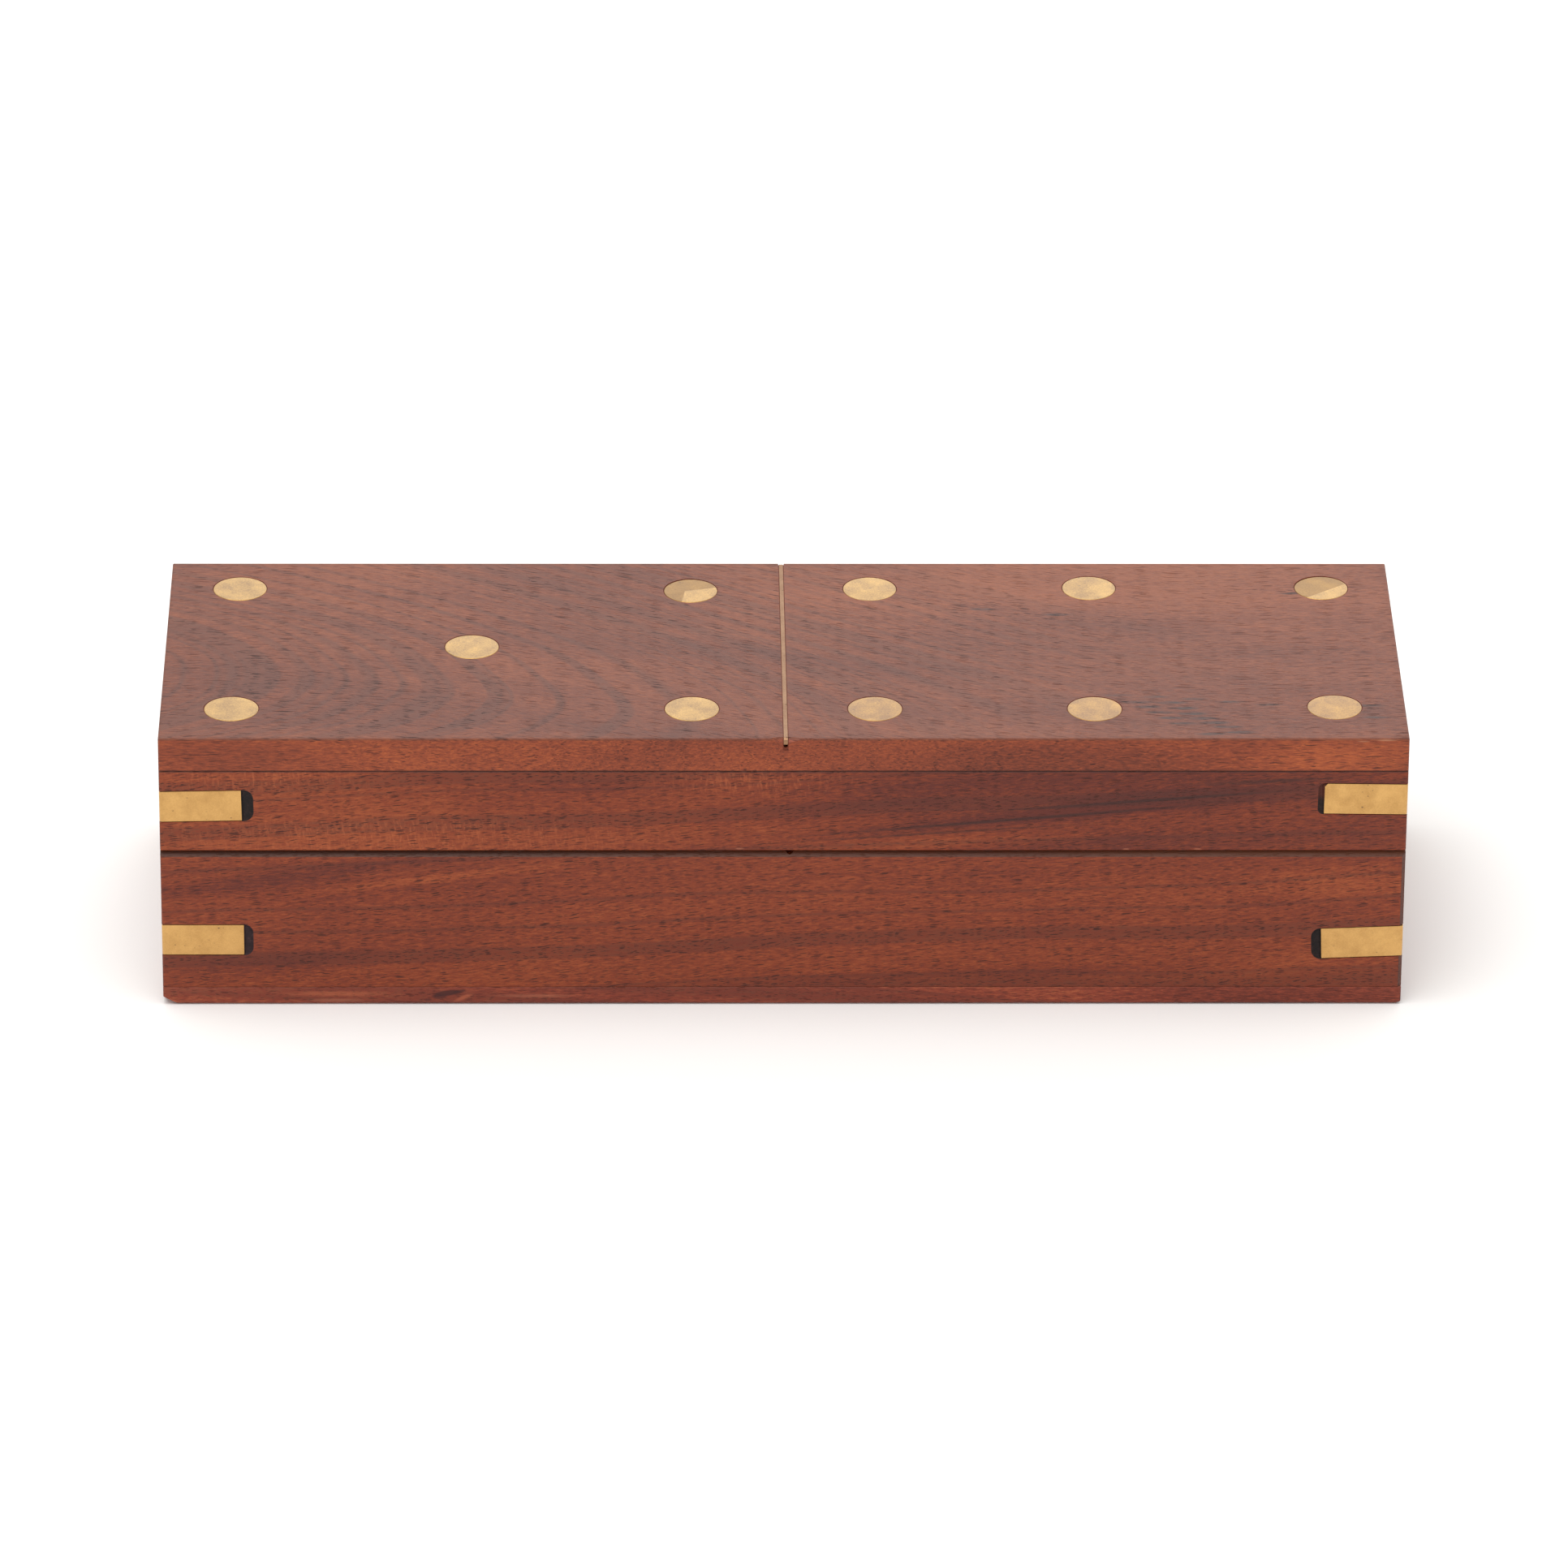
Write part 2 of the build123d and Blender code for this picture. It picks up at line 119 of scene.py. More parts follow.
# %% Turn sRGB hex colours to linear light
def linear(hex_colour):
    """The linear RGBA of a colour such as "#8a4a32"."""
    coded = [int(hex_colour[i:i + 2], 16) / 255 for i in (1, 3, 5)]
    plain = [c / 12.92 if c <= 0.04045 else ((c + 0.055) / 1.055) ** 2.4 for c in coded]
    return (*plain, 1.0)


print("sheesham", [round(c, 3) for c in linear("#80402c")])

# %% [markdown]
# ## The studio
#
# A product photograph like this is taken in a light tent: white cloth all round, so that brass
# has something bright to mirror and wood gets no hard shadow. A white world stands for the
# tent, and one wide soft box overhead keeps a trace of direction and lifts the floor to white.
# The view transform is the plain one, so a white floor stays white and the wood keeps the
# colour that it was given.

# %% Build the tent, the soft box and the floor
TENT_STRENGTH = 0.95
SOFT_BOX_WATTS = 16.0
BACK_CARD_WATTS = 4.6

bpy.context.scene.view_settings.view_transform = "Standard"
tent = bpy.data.worlds.new("light_tent")
tent.use_nodes = True
tent.node_tree.nodes["Background"].inputs["Color"].default_value = (1.0, 0.995, 0.985, 1.0)
tent.node_tree.nodes["Background"].inputs["Strength"].default_value = TENT_STRENGTH
bpy.context.scene.world = tent


def soft_box(name, place, target, size, watts):
    """A square area light at a place, in metres, that faces a target."""
    lamp = bpy.data.lights.new(name, "AREA")
    lamp.shape = "SQUARE"
    lamp.size = size
    lamp.energy = watts
    light = bpy.data.objects.new(name, lamp)
    light.location = place
    aimed = Vector(target) - Vector(place)
    light.rotation_euler = aimed.to_track_quat("-Z", "Y").to_euler()
    light.visible_camera = False
    bpy.context.scene.collection.objects.link(light)
    return light


soft_box("overhead_soft_box", (-0.3, -0.3, 1.6), (0, 0, 0), 1.4, SOFT_BOX_WATTS)
# The top mirrors what stands behind the box, a little above the table: a white card, turned
# to the right, where the top is palest.
soft_box("back_card", (0.45, 1.7, 0.9), (0, 0, 0), 1.5, BACK_CARD_WATTS)

FLOOR_SIZE = 8.0
floor_mesh = bpy.data.meshes.new("studio_floor")
sheet = bmesh.new()
bmesh.ops.create_grid(sheet, x_segments=1, y_segments=1, size=FLOOR_SIZE / 2)
sheet.to_mesh(floor_mesh)
sheet.free()
floor = bpy.data.objects.new("studio_floor", floor_mesh)
bpy.context.scene.collection.objects.link(floor)
print("tent, soft box and a floor of", FLOOR_SIZE, "m")

# %% [markdown]
# ## One way to add a node
#
# Every material below is a small network of nodes. One function adds a node, sets it and
# plugs it in, so that each step of a finish can be read on a line or two.

# %% Add a node with its settings and links
def add(tree, kind, feeds=None, stops=None, **settings):
    """A new node. feeds maps a socket's name or number to a value or to another node's output,
    stops are a colour ramp's places and colours, and the rest are the node's own settings."""
    node = tree.nodes.new(kind)
    for setting, value in settings.items():
        setattr(node, setting, value)
    for socket, value in (feeds or {}).items():
        if isinstance(value, bpy.types.NodeSocket):
            tree.links.new(value, node.inputs[socket])
        else:
            node.inputs[socket].default_value = value
    if stops:
        ramp = node.color_ramp.elements
        while len(ramp) < len(stops):
            ramp.new(1.0)
        for stop, (place, colour) in zip(ramp, stops):
            stop.position = place
            stop.color = linear(colour)
    return node


def new_material(name):
    """An empty material, its node tree and its surface shader."""
    material = bpy.data.materials.new(name)
    material.use_nodes = True
    tree = material.node_tree
    return material, tree, tree.nodes["Principled BSDF"]


floor_paint, tree, shader = new_material("matt_white_paper")
shader.inputs["Base Color"].default_value = linear("#f1f0ee")
shader.inputs["Roughness"].default_value = 0.9
floor.data.materials.append(floor_paint)
print("floor paper", floor_paint.name)

# %% [markdown]
# ## Sheesham
#
# Sheesham is an Indian rosewood: red-brown, with coarse open pores that show as short dark
# dashes along the grain, and growth rings that show as soft dark lines. A picture of wood
# would have to be wrapped round every board. Instead the wood is worked out in three
# dimensions, as it grows: rings round a tree's axis, pores as long thin cells along it. Each
# board then cuts through its own piece of tree, so its face, edge and end grain agree.
#
# The first step is a set of coordinates that lie along the grain. They are in millimetres, so
# that every pattern below has a real size, and they sway, because no tree grows straight.

# %% The wood's coordinates, in millimetres along and across the grain
SWAY_LENGTH = 70              # mm of length over which the grain sways
SWAY_WIDTH = 25               # and of width


def wood_coordinates(tree, lean, shift, sway, bend):
    """Places in the box in mm, the same with the tree's bend taken out, those turned so that
    the grain lies along X and moved to their own part of the tree, and the grain's sway."""
    world = add(tree, "ShaderNodeTexCoord").outputs["Object"]
    place = add(tree, "ShaderNodeMapping", {"Vector": world, "Scale": (1 / MM,) * 3}).outputs[0]
    straight = place
    if bend:
        # The tree grew with a crook: between two places along it, it steps aside.
        from_x, to_x, aside = bend
        along = add(tree, "ShaderNodeSeparateXYZ", {0: place})
        step = add(tree, "ShaderNodeMapRange",
                   {"Value": along.outputs[0], "From Min": from_x, "From Max": to_x,
                    "To Min": 0.0, "To Max": aside}, interpolation_type="SMOOTHSTEP")
        step = add(tree, "ShaderNodeCombineXYZ", {1: step.outputs["Result"]})
        straight = add(tree, "ShaderNodeVectorMath", {0: place, 1: step.outputs[0]}).outputs[0]
    grain = add(tree, "ShaderNodeMapping",
                {"Vector": straight, "Rotation": lean, "Location": shift})
    slow = add(tree, "ShaderNodeMapping",
               {"Vector": grain.outputs[0],
                "Scale": (1 / SWAY_LENGTH, 1 / SWAY_WIDTH, 1 / SWAY_WIDTH)})
    drift = add(tree, "ShaderNodeTexNoise",
                {"Vector": slow.outputs[0], "Scale": 1.0, "Detail": 1.0, "Roughness": 0.4})
    centred = add(tree, "ShaderNodeVectorMath",
                  {0: drift.outputs["Color"], 1: (0.5, 0.5, 0.5)}, operation="SUBTRACT")
    sway_mm = add(tree, "ShaderNodeVectorMath",
                  {0: centred.outputs[0], 1: (0.0, sway, sway)}, operation="MULTIPLY")
    swayed = add(tree, "ShaderNodeVectorMath", {0: grain.outputs[0], 1: sway_mm.outputs[0]})
    return place, straight, swayed.outputs[0], sway_mm.outputs[0]


print("the grain sways over", SWAY_LENGTH, "mm of length and", SWAY_WIDTH, "mm of width")

# %% [markdown]
# ## Growth rings
#
# The rings are cones, because a trunk tapers. A plane that passes near the axis cuts them in
# nested arches, and a plane far to one side cuts them in nearly straight lines. So one
# formula gives both the arches on the left of the top and the straight figure of the walls.
# Real rings aren't evenly spaced, so a one-dimensional noise over the ring count sets how
# dark each is.

# %% Growth rings: cones round a tilted axis
# How many degrees the axis rises, where it lies across and below the box, in mm, how much the
# cones widen along it, how far apart the rings are, in mm, and how wide their dark lines are,
# as a part of the tone's range.
STRAIGHT = dict(lift=0.0, across=70.0, depth=-60.0, taper=0.03, spacing=5.0, width=0.05)


def growth_rings(tree, place, sway_mm, turned, rings):
    """Two values from 0 to 1: the broad tone of the rings, and their thin dark lines."""
    leant = add(tree, "ShaderNodeVectorMath", {0: place, 1: sway_mm})
    axis = add(tree, "ShaderNodeMapping",
               {"Vector": leant.outputs[0], "Rotation": (0, math.radians(rings["lift"]), turned),
                "Location": (0, -rings["across"], -rings["depth"])})
    split = add(tree, "ShaderNodeSeparateXYZ", {0: axis.outputs[0]})
    flat = add(tree, "ShaderNodeVectorMath",
               {0: axis.outputs[0], 1: (0, 1, 1)}, operation="MULTIPLY")
    radius = add(tree, "ShaderNodeVectorMath", {0: flat.outputs[0]}, operation="LENGTH")
    cone = add(tree, "ShaderNodeMath",
               {0: split.outputs[0], 1: rings["taper"], 2: radius.outputs["Value"]},
               operation="MULTIPLY_ADD")
    count = add(tree, "ShaderNodeMath",
                {0: cone.outputs[0], 1: 1 / rings["spacing"]}, operation="MULTIPLY")
    tone = add(tree, "ShaderNodeTexNoise",
               {"W": count.outputs[0], "Scale": 1.0, "Detail": 2.0, "Roughness": 0.5},
               noise_dimensions="1D")
    # A line lies where the tone passes through its middle value.
    off_middle = add(tree, "ShaderNodeMath",
                     {0: tone.outputs[0], 1: 0.5}, operation="SUBTRACT")
    distance = add(tree, "ShaderNodeMath", {0: off_middle.outputs[0]}, operation="ABSOLUTE")
    line = add(tree, "ShaderNodeMapRange",
               {"Value": distance.outputs[0], "From Min": 0.0, "From Max": rings["width"],
                "To Min": 1.0, "To Max": 0.0}, interpolation_type="SMOOTHSTEP")
    return tone.outputs[0], line.outputs["Result"]


print("straight figure: a ring every", STRAIGHT["spacing"], "mm")

# %% [markdown]
# ## Spots
#
# A real board has places that are lighter, darker or marked: a knot, a dark streak, wax in a
# chamfer. Each is an ellipsoid with a soft edge, placed in millimetres in the box. One
# function gives how far a point is inside it, and everything below uses it.

# %% A soft-edged spot, and a colour with such a spot on it
def spot(tree, place, middle, half_sizes, amount, softness, rise=0.0):
    """The amount inside an ellipsoid, falling to 0 at its edge. Sizes are in mm, and rise is
    how many degrees it climbs to the right, seen from the front."""
    turned = add(tree, "ShaderNodeVectorRotate",
                 {"Vector": place, "Center": middle, "Angle": math.radians(rise)},
                 rotation_type="Y_AXIS").outputs[0]
    from_middle = add(tree, "ShaderNodeVectorMath",
                      {0: turned, 1: middle}, operation="SUBTRACT")
    scaled = add(tree, "ShaderNodeVectorMath",
                 {0: from_middle.outputs[0], 1: half_sizes}, operation="DIVIDE")
    away = add(tree, "ShaderNodeVectorMath", {0: scaled.outputs[0]}, operation="LENGTH")
    return add(tree, "ShaderNodeMapRange",
               {"Value": away.outputs["Value"], "From Min": 1.0 - softness, "From Max": 1.0,
                "To Min": amount, "To Max": 0.0},
               interpolation_type="SMOOTHSTEP").outputs["Result"]


def marked(tree, place, colour, mark):
    """The colour with one spot of another on it."""
    middle, half_sizes, tone, strength, softness, *rise = mark
    inside = spot(tree, place, middle, half_sizes, strength, softness, *rise)
    return add(tree, "ShaderNodeMix", {0: inside, 6: colour, 7: linear(tone)},
               data_type="RGBA").outputs[2]


print("spots are placed and measured in mm")

# %% [markdown]
# ## Fibres and patches
#
# Between the rings the wood is still not of one tone. Its fibres show as fine flecks, and whole
# patches of a board are a little lighter or darker. Noise that is stretched along the grain
# gives both. They are added up to one level from 0 to 1, which a colour ramp turns into wood.

# %% How light the wood is at each place
FLECK_SHARE = 1.1             # how much the flecks count in the level
TONE_SPREAD = 0.27            # the level's range, on each side of its middle


def fibres(tree, grain):
    """The grain with a small shiver, and the noise of its flecks."""
    # The fibres waver a little: 0.1 mm up and down, every 3 mm or so.
    shiver = add(tree, "ShaderNodeMapping", {"Vector": grain, "Scale": (0.35, 0.6, 0.6)})
    shiver = add(tree, "ShaderNodeTexNoise",
                 {"Vector": shiver.outputs[0], "Scale": 1.0, "Detail": 1.0})
    shiver = add(tree, "ShaderNodeVectorMath",
                 {0: shiver.outputs["Color"], 1: (0.0, 0.55, 0.55)}, operation="MULTIPLY")
    wavy = add(tree, "ShaderNodeVectorMath", {0: grain, 1: shiver.outputs[0]}).outputs[0]
    # Flecks some 2 mm long and 0.25 mm wide.
    thread = add(tree, "ShaderNodeMapping", {"Vector": wavy, "Scale": (0.55, 3.8, 3.8)})
    fleck = add(tree, "ShaderNodeTexNoise",
                {"Vector": thread.outputs[0], "Scale": 1.0, "Detail": 4.0, "Roughness": 0.7})
    return wavy, fleck.outputs[0]


def wood_level(tree, place, grain, fleck, tone, ring_tone, patches, shades):
    """From 0, dark, to 1, light: flecks, slow patches, rings and the board's own shades."""
    # Patches some 40 mm long and 8 mm wide.
    patchwork = add(tree, "ShaderNodeMapping",
                    {"Vector": grain, "Scale": (1 / 40, 1 / 8, 1 / 8), "Location": (7, 3, 5)})
    patch = add(tree, "ShaderNodeTexNoise",
                {"Vector": patchwork.outputs[0], "Scale": 1.0, "Detail": 3.0, "Roughness": 0.55})
    mixed = add(tree, "ShaderNodeMath", {0: fleck, 1: FLECK_SHARE}, operation="MULTIPLY")
    for part, share in ((patch.outputs[0], patches), (tone, ring_tone)):
        mixed = add(tree, "ShaderNodeMath", {0: part, 1: share, 2: mixed.outputs[0]},
                    operation="MULTIPLY_ADD")
    half = (FLECK_SHARE + patches + ring_tone) / 2
    level = add(tree, "ShaderNodeMapRange",
                {"Value": mixed.outputs[0], "From Min": half - TONE_SPREAD,
                 "From Max": half + TONE_SPREAD}).outputs["Result"]
    for middle, half_sizes, amount, softness, *rise in shades:
        inside = spot(tree, place, middle, half_sizes, amount, softness, *rise)
        level = add(tree, "ShaderNodeMath", {0: level, 1: inside}).outputs[0]
    return level


print("flecks and patches are ready, the level spreads", TONE_SPREAD, "each way")

# %% [markdown]
# ## Dark lines and curly grain
#
# A ring's dark line is a row of fine dark fibres, so the flecks have to break it up, or it
# would look drawn with a pen. Curly grain is the opposite: fibres that rise and fall catch
# the light where they rise, and give short pale glints across the grain.

# %% Lines broken by the flecks, and glints
def dark_lines(tree, wood, fleck, line, line_tone, line_strength):
    """The wood with its dark lines, broken up by the flecks."""
    broken = add(tree, "ShaderNodeMapRange",
                 {"Value": fleck, "From Min": 0.38, "From Max": 0.62,
                  "To Min": 0.0, "To Max": 2 * line_strength})
    strength = add(tree, "ShaderNodeMath", {0: broken.outputs["Result"], 1: line},
                   operation="MULTIPLY", use_clamp=True)
    return add(tree, "ShaderNodeMix",
               {0: strength.outputs[0], 6: wood, 7: linear(line_tone)},
               data_type="RGBA").outputs[2]


def curly(tree, place, wavy, colour, ripple, ripple_places):
    """The colour with glints where the fibres rise, every 0.5 mm or so."""
    waves = add(tree, "ShaderNodeMapping",
                {"Vector": wavy, "Scale": (2.4, 0.7, 0.7), "Rotation": (0, 0.2, 0.2)})
    curl = add(tree, "ShaderNodeTexNoise",
               {"Vector": waves.outputs[0], "Scale": 1.0, "Detail": 2.0, "Roughness": 0.55})
    glint = add(tree, "ShaderNodeMapRange",
                {"Value": curl.outputs[0], "From Min": 0.5, "From Max": 0.68,
                 "To Min": 0.0, "To Max": ripple})
    here = 0.0
    for middle, half_sizes in ripple_places:
        here = add(tree, "ShaderNodeMath",
                   {0: here, 1: spot(tree, place, middle, half_sizes, 1.0, 0.9)}).outputs[0]
    amount = add(tree, "ShaderNodeMath", {0: glint.outputs["Result"], 1: here},
                 operation="MULTIPLY")
    return add(tree, "ShaderNodeMix",
               {0: amount.outputs[0], 6: colour, 7: linear("#ae5a30")},
               data_type="RGBA").outputs[2]


print("dark lines and glints are ready")

# %% [markdown]
# ## Pores
#
# Sheesham's vessels are cut open by the plane and show as dashes on a face and as dots on end
# grain. A Voronoi texture whose cells are long and thin gives both. There are two sizes:
# coarse dashes, 2 mm long or more, and fine ones half that. The fine ones are drawn twice as
# wide as real ones, or they would be too thin to show.

# %% Pores: long thin cells, each a dash on a face and a dot on end grain
COARSE_PORE = 0.22            # widths, in mm
FINE_PORE = 0.17
PORE_FILL = 0.5               # how much of its cell the largest pore takes up


def pores(tree, grain, length, width, share, fill):
    """1 inside a pore and 0 outside. length and width are a pore's own, in mm, share is how
    many of the cells hold one, and fill is how much of its cell a pore takes up."""
    cells = add(tree, "ShaderNodeMapping",
                {"Vector": grain, "Scale": (2 * fill / length, 2 * fill / width, 2 * fill / width)})
    cell = add(tree, "ShaderNodeTexVoronoi", {"Vector": cells.outputs[0], "Scale": 1.0})
    lot = add(tree, "ShaderNodeSeparateColor", {0: cell.outputs["Color"]})
    size = add(tree, "ShaderNodeMapRange",
               {"Value": lot.outputs[0], "From Min": 1.0 - share, "From Max": 1.0,
                "To Min": 0.0, "To Max": fill})
    inside = add(tree, "ShaderNodeMath",
                 {0: size.outputs["Result"], 1: cell.outputs["Distance"]}, operation="SUBTRACT")
    return add(tree, "ShaderNodeMapRange",
               {"Value": inside.outputs[0], "From Min": 0.0, "From Max": 0.35 * fill},
               interpolation_type="SMOOTHSTEP").outputs["Result"]


def wood_pores(tree, wavy, line, length, share):
    """Coarse and fine pores together. The fine ones are deeper in the dark lines."""
    coarse = pores(tree, wavy, length, COARSE_PORE, share, PORE_FILL)
    fine = pores(tree, wavy, 0.5 * length, FINE_PORE, share, PORE_FILL)
    gathered = add(tree, "ShaderNodeMath", {0: line, 1: 0.8, 2: 0.6}, operation="MULTIPLY_ADD")
    fine = add(tree, "ShaderNodeMath", {0: fine, 1: gathered.outputs[0]}, operation="MULTIPLY")
    return add(tree, "ShaderNodeMath", {0: coarse, 1: fine.outputs[0]}, operation="MAXIMUM",
               use_clamp=True).outputs[0]


print("pores", COARSE_PORE, "and", FINE_PORE, "mm wide")

# %% [markdown]
# ## The whole finish of one board
#
# One function stacks these layers in the order in which the real thing came about: first the
# wood's tone, then its lines and curl, then the pores, and last the marks of use. Each board
# gives its own values:
#
# - turned and shift say how its grain lies and which part of the tree it was cut from, sway
#   and bend how the tree grew, and rings how its rings lie;
# - tones are its dark, middle and light colour, and ring_tone and patches say how much the
#   rings and the slow patches change them;
# - line_tone, line_strength and line_place belong to the dark lines, and line_dashes says how
#   much darker the pores are in them;
# - shades are lighter or darker places, streaks are short dark lines, dashes are places with
#   darker pores, and marks are spots of another colour;
# - edge is the part that is cleaner and redder, and raw the inside, which was never waxed.
#
# The finish is wax over sanded wood. It leaves a satin surface, which the open pores break up.

# %% Lay the layers of one board over each other
WAX_IOR = 1.4
RAW_TONE = "#9a6a48"
THIRDS = (0.0, 0.5, 1.0)      # the level of the dark, the middle and the light tone


def sheesham(name, turned=0.0, shift=(0, 0, 0), sway=3.0, bend=None, rings=STRAIGHT,
             tones=("#521a0e", "#762c0e", "#9a4a1e"), ring_tone=0.25, patches=0.45,
             line_tone="#3a1a16", line_strength=0.3, line_dashes=0.1, line_place=None,
             pore_tone="#32100a", pore_depth=0.85, pore_share=1.0, pore_length=2.0,
             ripple=0.0, ripple_places=(), shades=(), streaks=(), dashes=(), marks=(),
             edge=None, raw=None):
    """Planed, sanded and waxed sheesham, with the grain of one board."""
    material, tree, shader = new_material(name)
    lean = (0, math.radians(rings["lift"]), turned)
    place, straight, grain, sway_mm = wood_coordinates(tree, lean, shift, sway, bend)
    tone, line = growth_rings(tree, straight, sway_mm, turned, rings)
    wavy, fleck = fibres(tree, grain)
    level = wood_level(tree, place, grain, fleck, tone, ring_tone, patches, shades)
    wood = add(tree, "ShaderNodeValToRGB", {0: level}, stops=list(zip(THIRDS, tones)))
    wood = wood.outputs[0]
    if line_place:
        line = add(tree, "ShaderNodeMath",
                   {0: line, 1: spot(tree, place, *line_place, 1.0, 0.6)},
                   operation="MULTIPLY").outputs[0]
    if edge:
        # A planed edge is cleaner and redder than a face that years of hands have greyed.
        middle, half_sizes, edge_tones = edge
        on_edge = spot(tree, place, middle, half_sizes, 1.0, 0.1)
        fresh = add(tree, "ShaderNodeValToRGB", {0: level},
                    stops=list(zip(THIRDS, edge_tones)))
        wood = add(tree, "ShaderNodeMix", {0: on_edge, 6: wood, 7: fresh.outputs[0]},
                   data_type="RGBA").outputs[2]
        off_edge = add(tree, "ShaderNodeMath", {0: 1.0, 1: on_edge}, operation="SUBTRACT")
        line = add(tree, "ShaderNodeMath", {0: line, 1: off_edge.outputs[0]},
                   operation="MULTIPLY").outputs[0]
    for middle, half_sizes, amount, softness, *rise in streaks:
        inside = spot(tree, place, middle, half_sizes, amount, softness, *rise)
        line = add(tree, "ShaderNodeMath", {0: line, 1: inside}).outputs[0]
    colour = dark_lines(tree, wood, fleck, line, line_tone, line_strength)
    if ripple:
        colour = curly(tree, place, wavy, colour, ripple, ripple_places)

    pore = wood_pores(tree, wavy, line, pore_length, pore_share)
    depth = add(tree, "ShaderNodeMath", {0: line, 1: line_dashes, 2: pore_depth},
                operation="MULTIPLY_ADD")
    for middle, half_sizes, amount, softness in dashes:
        inside = spot(tree, place, middle, half_sizes, amount, softness)
        depth = add(tree, "ShaderNodeMath", {0: depth.outputs[0], 1: inside})
    depth = add(tree, "ShaderNodeClamp", {0: depth.outputs[0]})
    dark = add(tree, "ShaderNodeMath", {0: pore, 1: depth.outputs[0]}, operation="MULTIPLY")
    colour = add(tree, "ShaderNodeMix",
                 {0: dark.outputs[0], 6: colour, 7: linear(pore_tone)},
                 data_type="RGBA").outputs[2]
    for mark in marks:
        colour = marked(tree, place, colour, mark)
    if raw:
        colour = marked(tree, place, colour, (*raw, RAW_TONE, 0.38, 0.02))

    tree.links.new(colour, shader.inputs["Base Color"])
    shine = add(tree, "ShaderNodeMath", {0: pore, 1: 0.25, 2: 0.42}, operation="MULTIPLY_ADD")
    tree.links.new(shine.outputs[0], shader.inputs["Roughness"])
    shader.inputs["IOR"].default_value = WAX_IOR
    relief = add(tree, "ShaderNodeMath", {0: fleck, 1: pore}, operation="SUBTRACT")
    bump = add(tree, "ShaderNodeBump",
               {"Height": relief.outputs[0], "Strength": 0.6, "Distance": 0.05 * MM})
    tree.links.new(bump.outputs[0], shader.inputs["Normal"])
    return material


print("sheesham is ready to be cut into boards")

# %% [markdown]
# ## Marks that several boards share
#
# The chamfer of the base's rim lies in the shade under the lid's edge, and that shade is painted
# into it as a dark line. Old wax and dust gather along each glued joint, where a cloth doesn't
# reach, and leave a dark line there.

# %% Painted shade in the rim's chamfer and on a bevel, and the glued joint's dark line
QUARTER = math.radians(-90)   # a side board's grain runs along the box's Y
ALL = 1e4                     # a half size that covers the whole box
FRONT, BACK = -32.5, 32.5     # Y of the front and back faces, in mm
RIM = 27.75                   # Z of the base's rim
TOP = 48                      # Z of the top
TOP_JOINT = 42.15             # Z of the glued joint between the lid's walls and its top


def rim_shade_marks(y):
    """Painted shade on the chamfer of the base's rim, which lies under the lid's edge."""
    return [((0, y, RIM), (ALL, 1.1, 1.02), "#4a2310", 0.9, 0.12),
            ((-70, y, RIM), (90, 1.1, 1.02), "#1e0d07", 0.75, 0.6),
            ((80, y, RIM), (70, 1.1, 1.02), "#74442c", 0.5, 0.6)]


# Painted shade on the bevel down the right front corner of the base, where it turns to the side.
BEVEL_SHADE_MARK = ((100, FRONT, 13), (0.62, 0.62, ALL), "#4a2418", 0.85, 0.12)
# The dark line of the glued joint under the top, seen from the front.
JOINT_MARK = ((0, FRONT, TOP_JOINT), (ALL, 1.0, 0.32), "#34140a", 0.75, 0.8)


def dark_fibres(strength, *places):
    """Short dark streaks along the grain of the top, each about 5 mm long."""
    return [((x, y, TOP), (3.4, 0.7, 1), strength, 0.9) for x, y in places]


def pale_chip(x, z, half_length, half_height, strength=0.5):
    """A place on the front where a knock has left pale wood."""
    return ((x, FRONT, z), (half_length, 1, half_height), "#a8664a", strength, 0.6)


# The rim's marks are painted shade.
print("wax marks on the rim:", len(rim_shade_marks(FRONT)), "a side")

# %% [markdown]
# ## Ten boards, ten pieces of tree
#
# The maker cut the boards from different planks, so each has its own part of the tree, its
# own tone and its own straight or arched figure. The top comes first, because it is the one
# with a strong figure: its plank was cut close to the tree's axis, where the rings make
# arches, and the tree had a crook there. Its edge is cleaner and redder than its face.

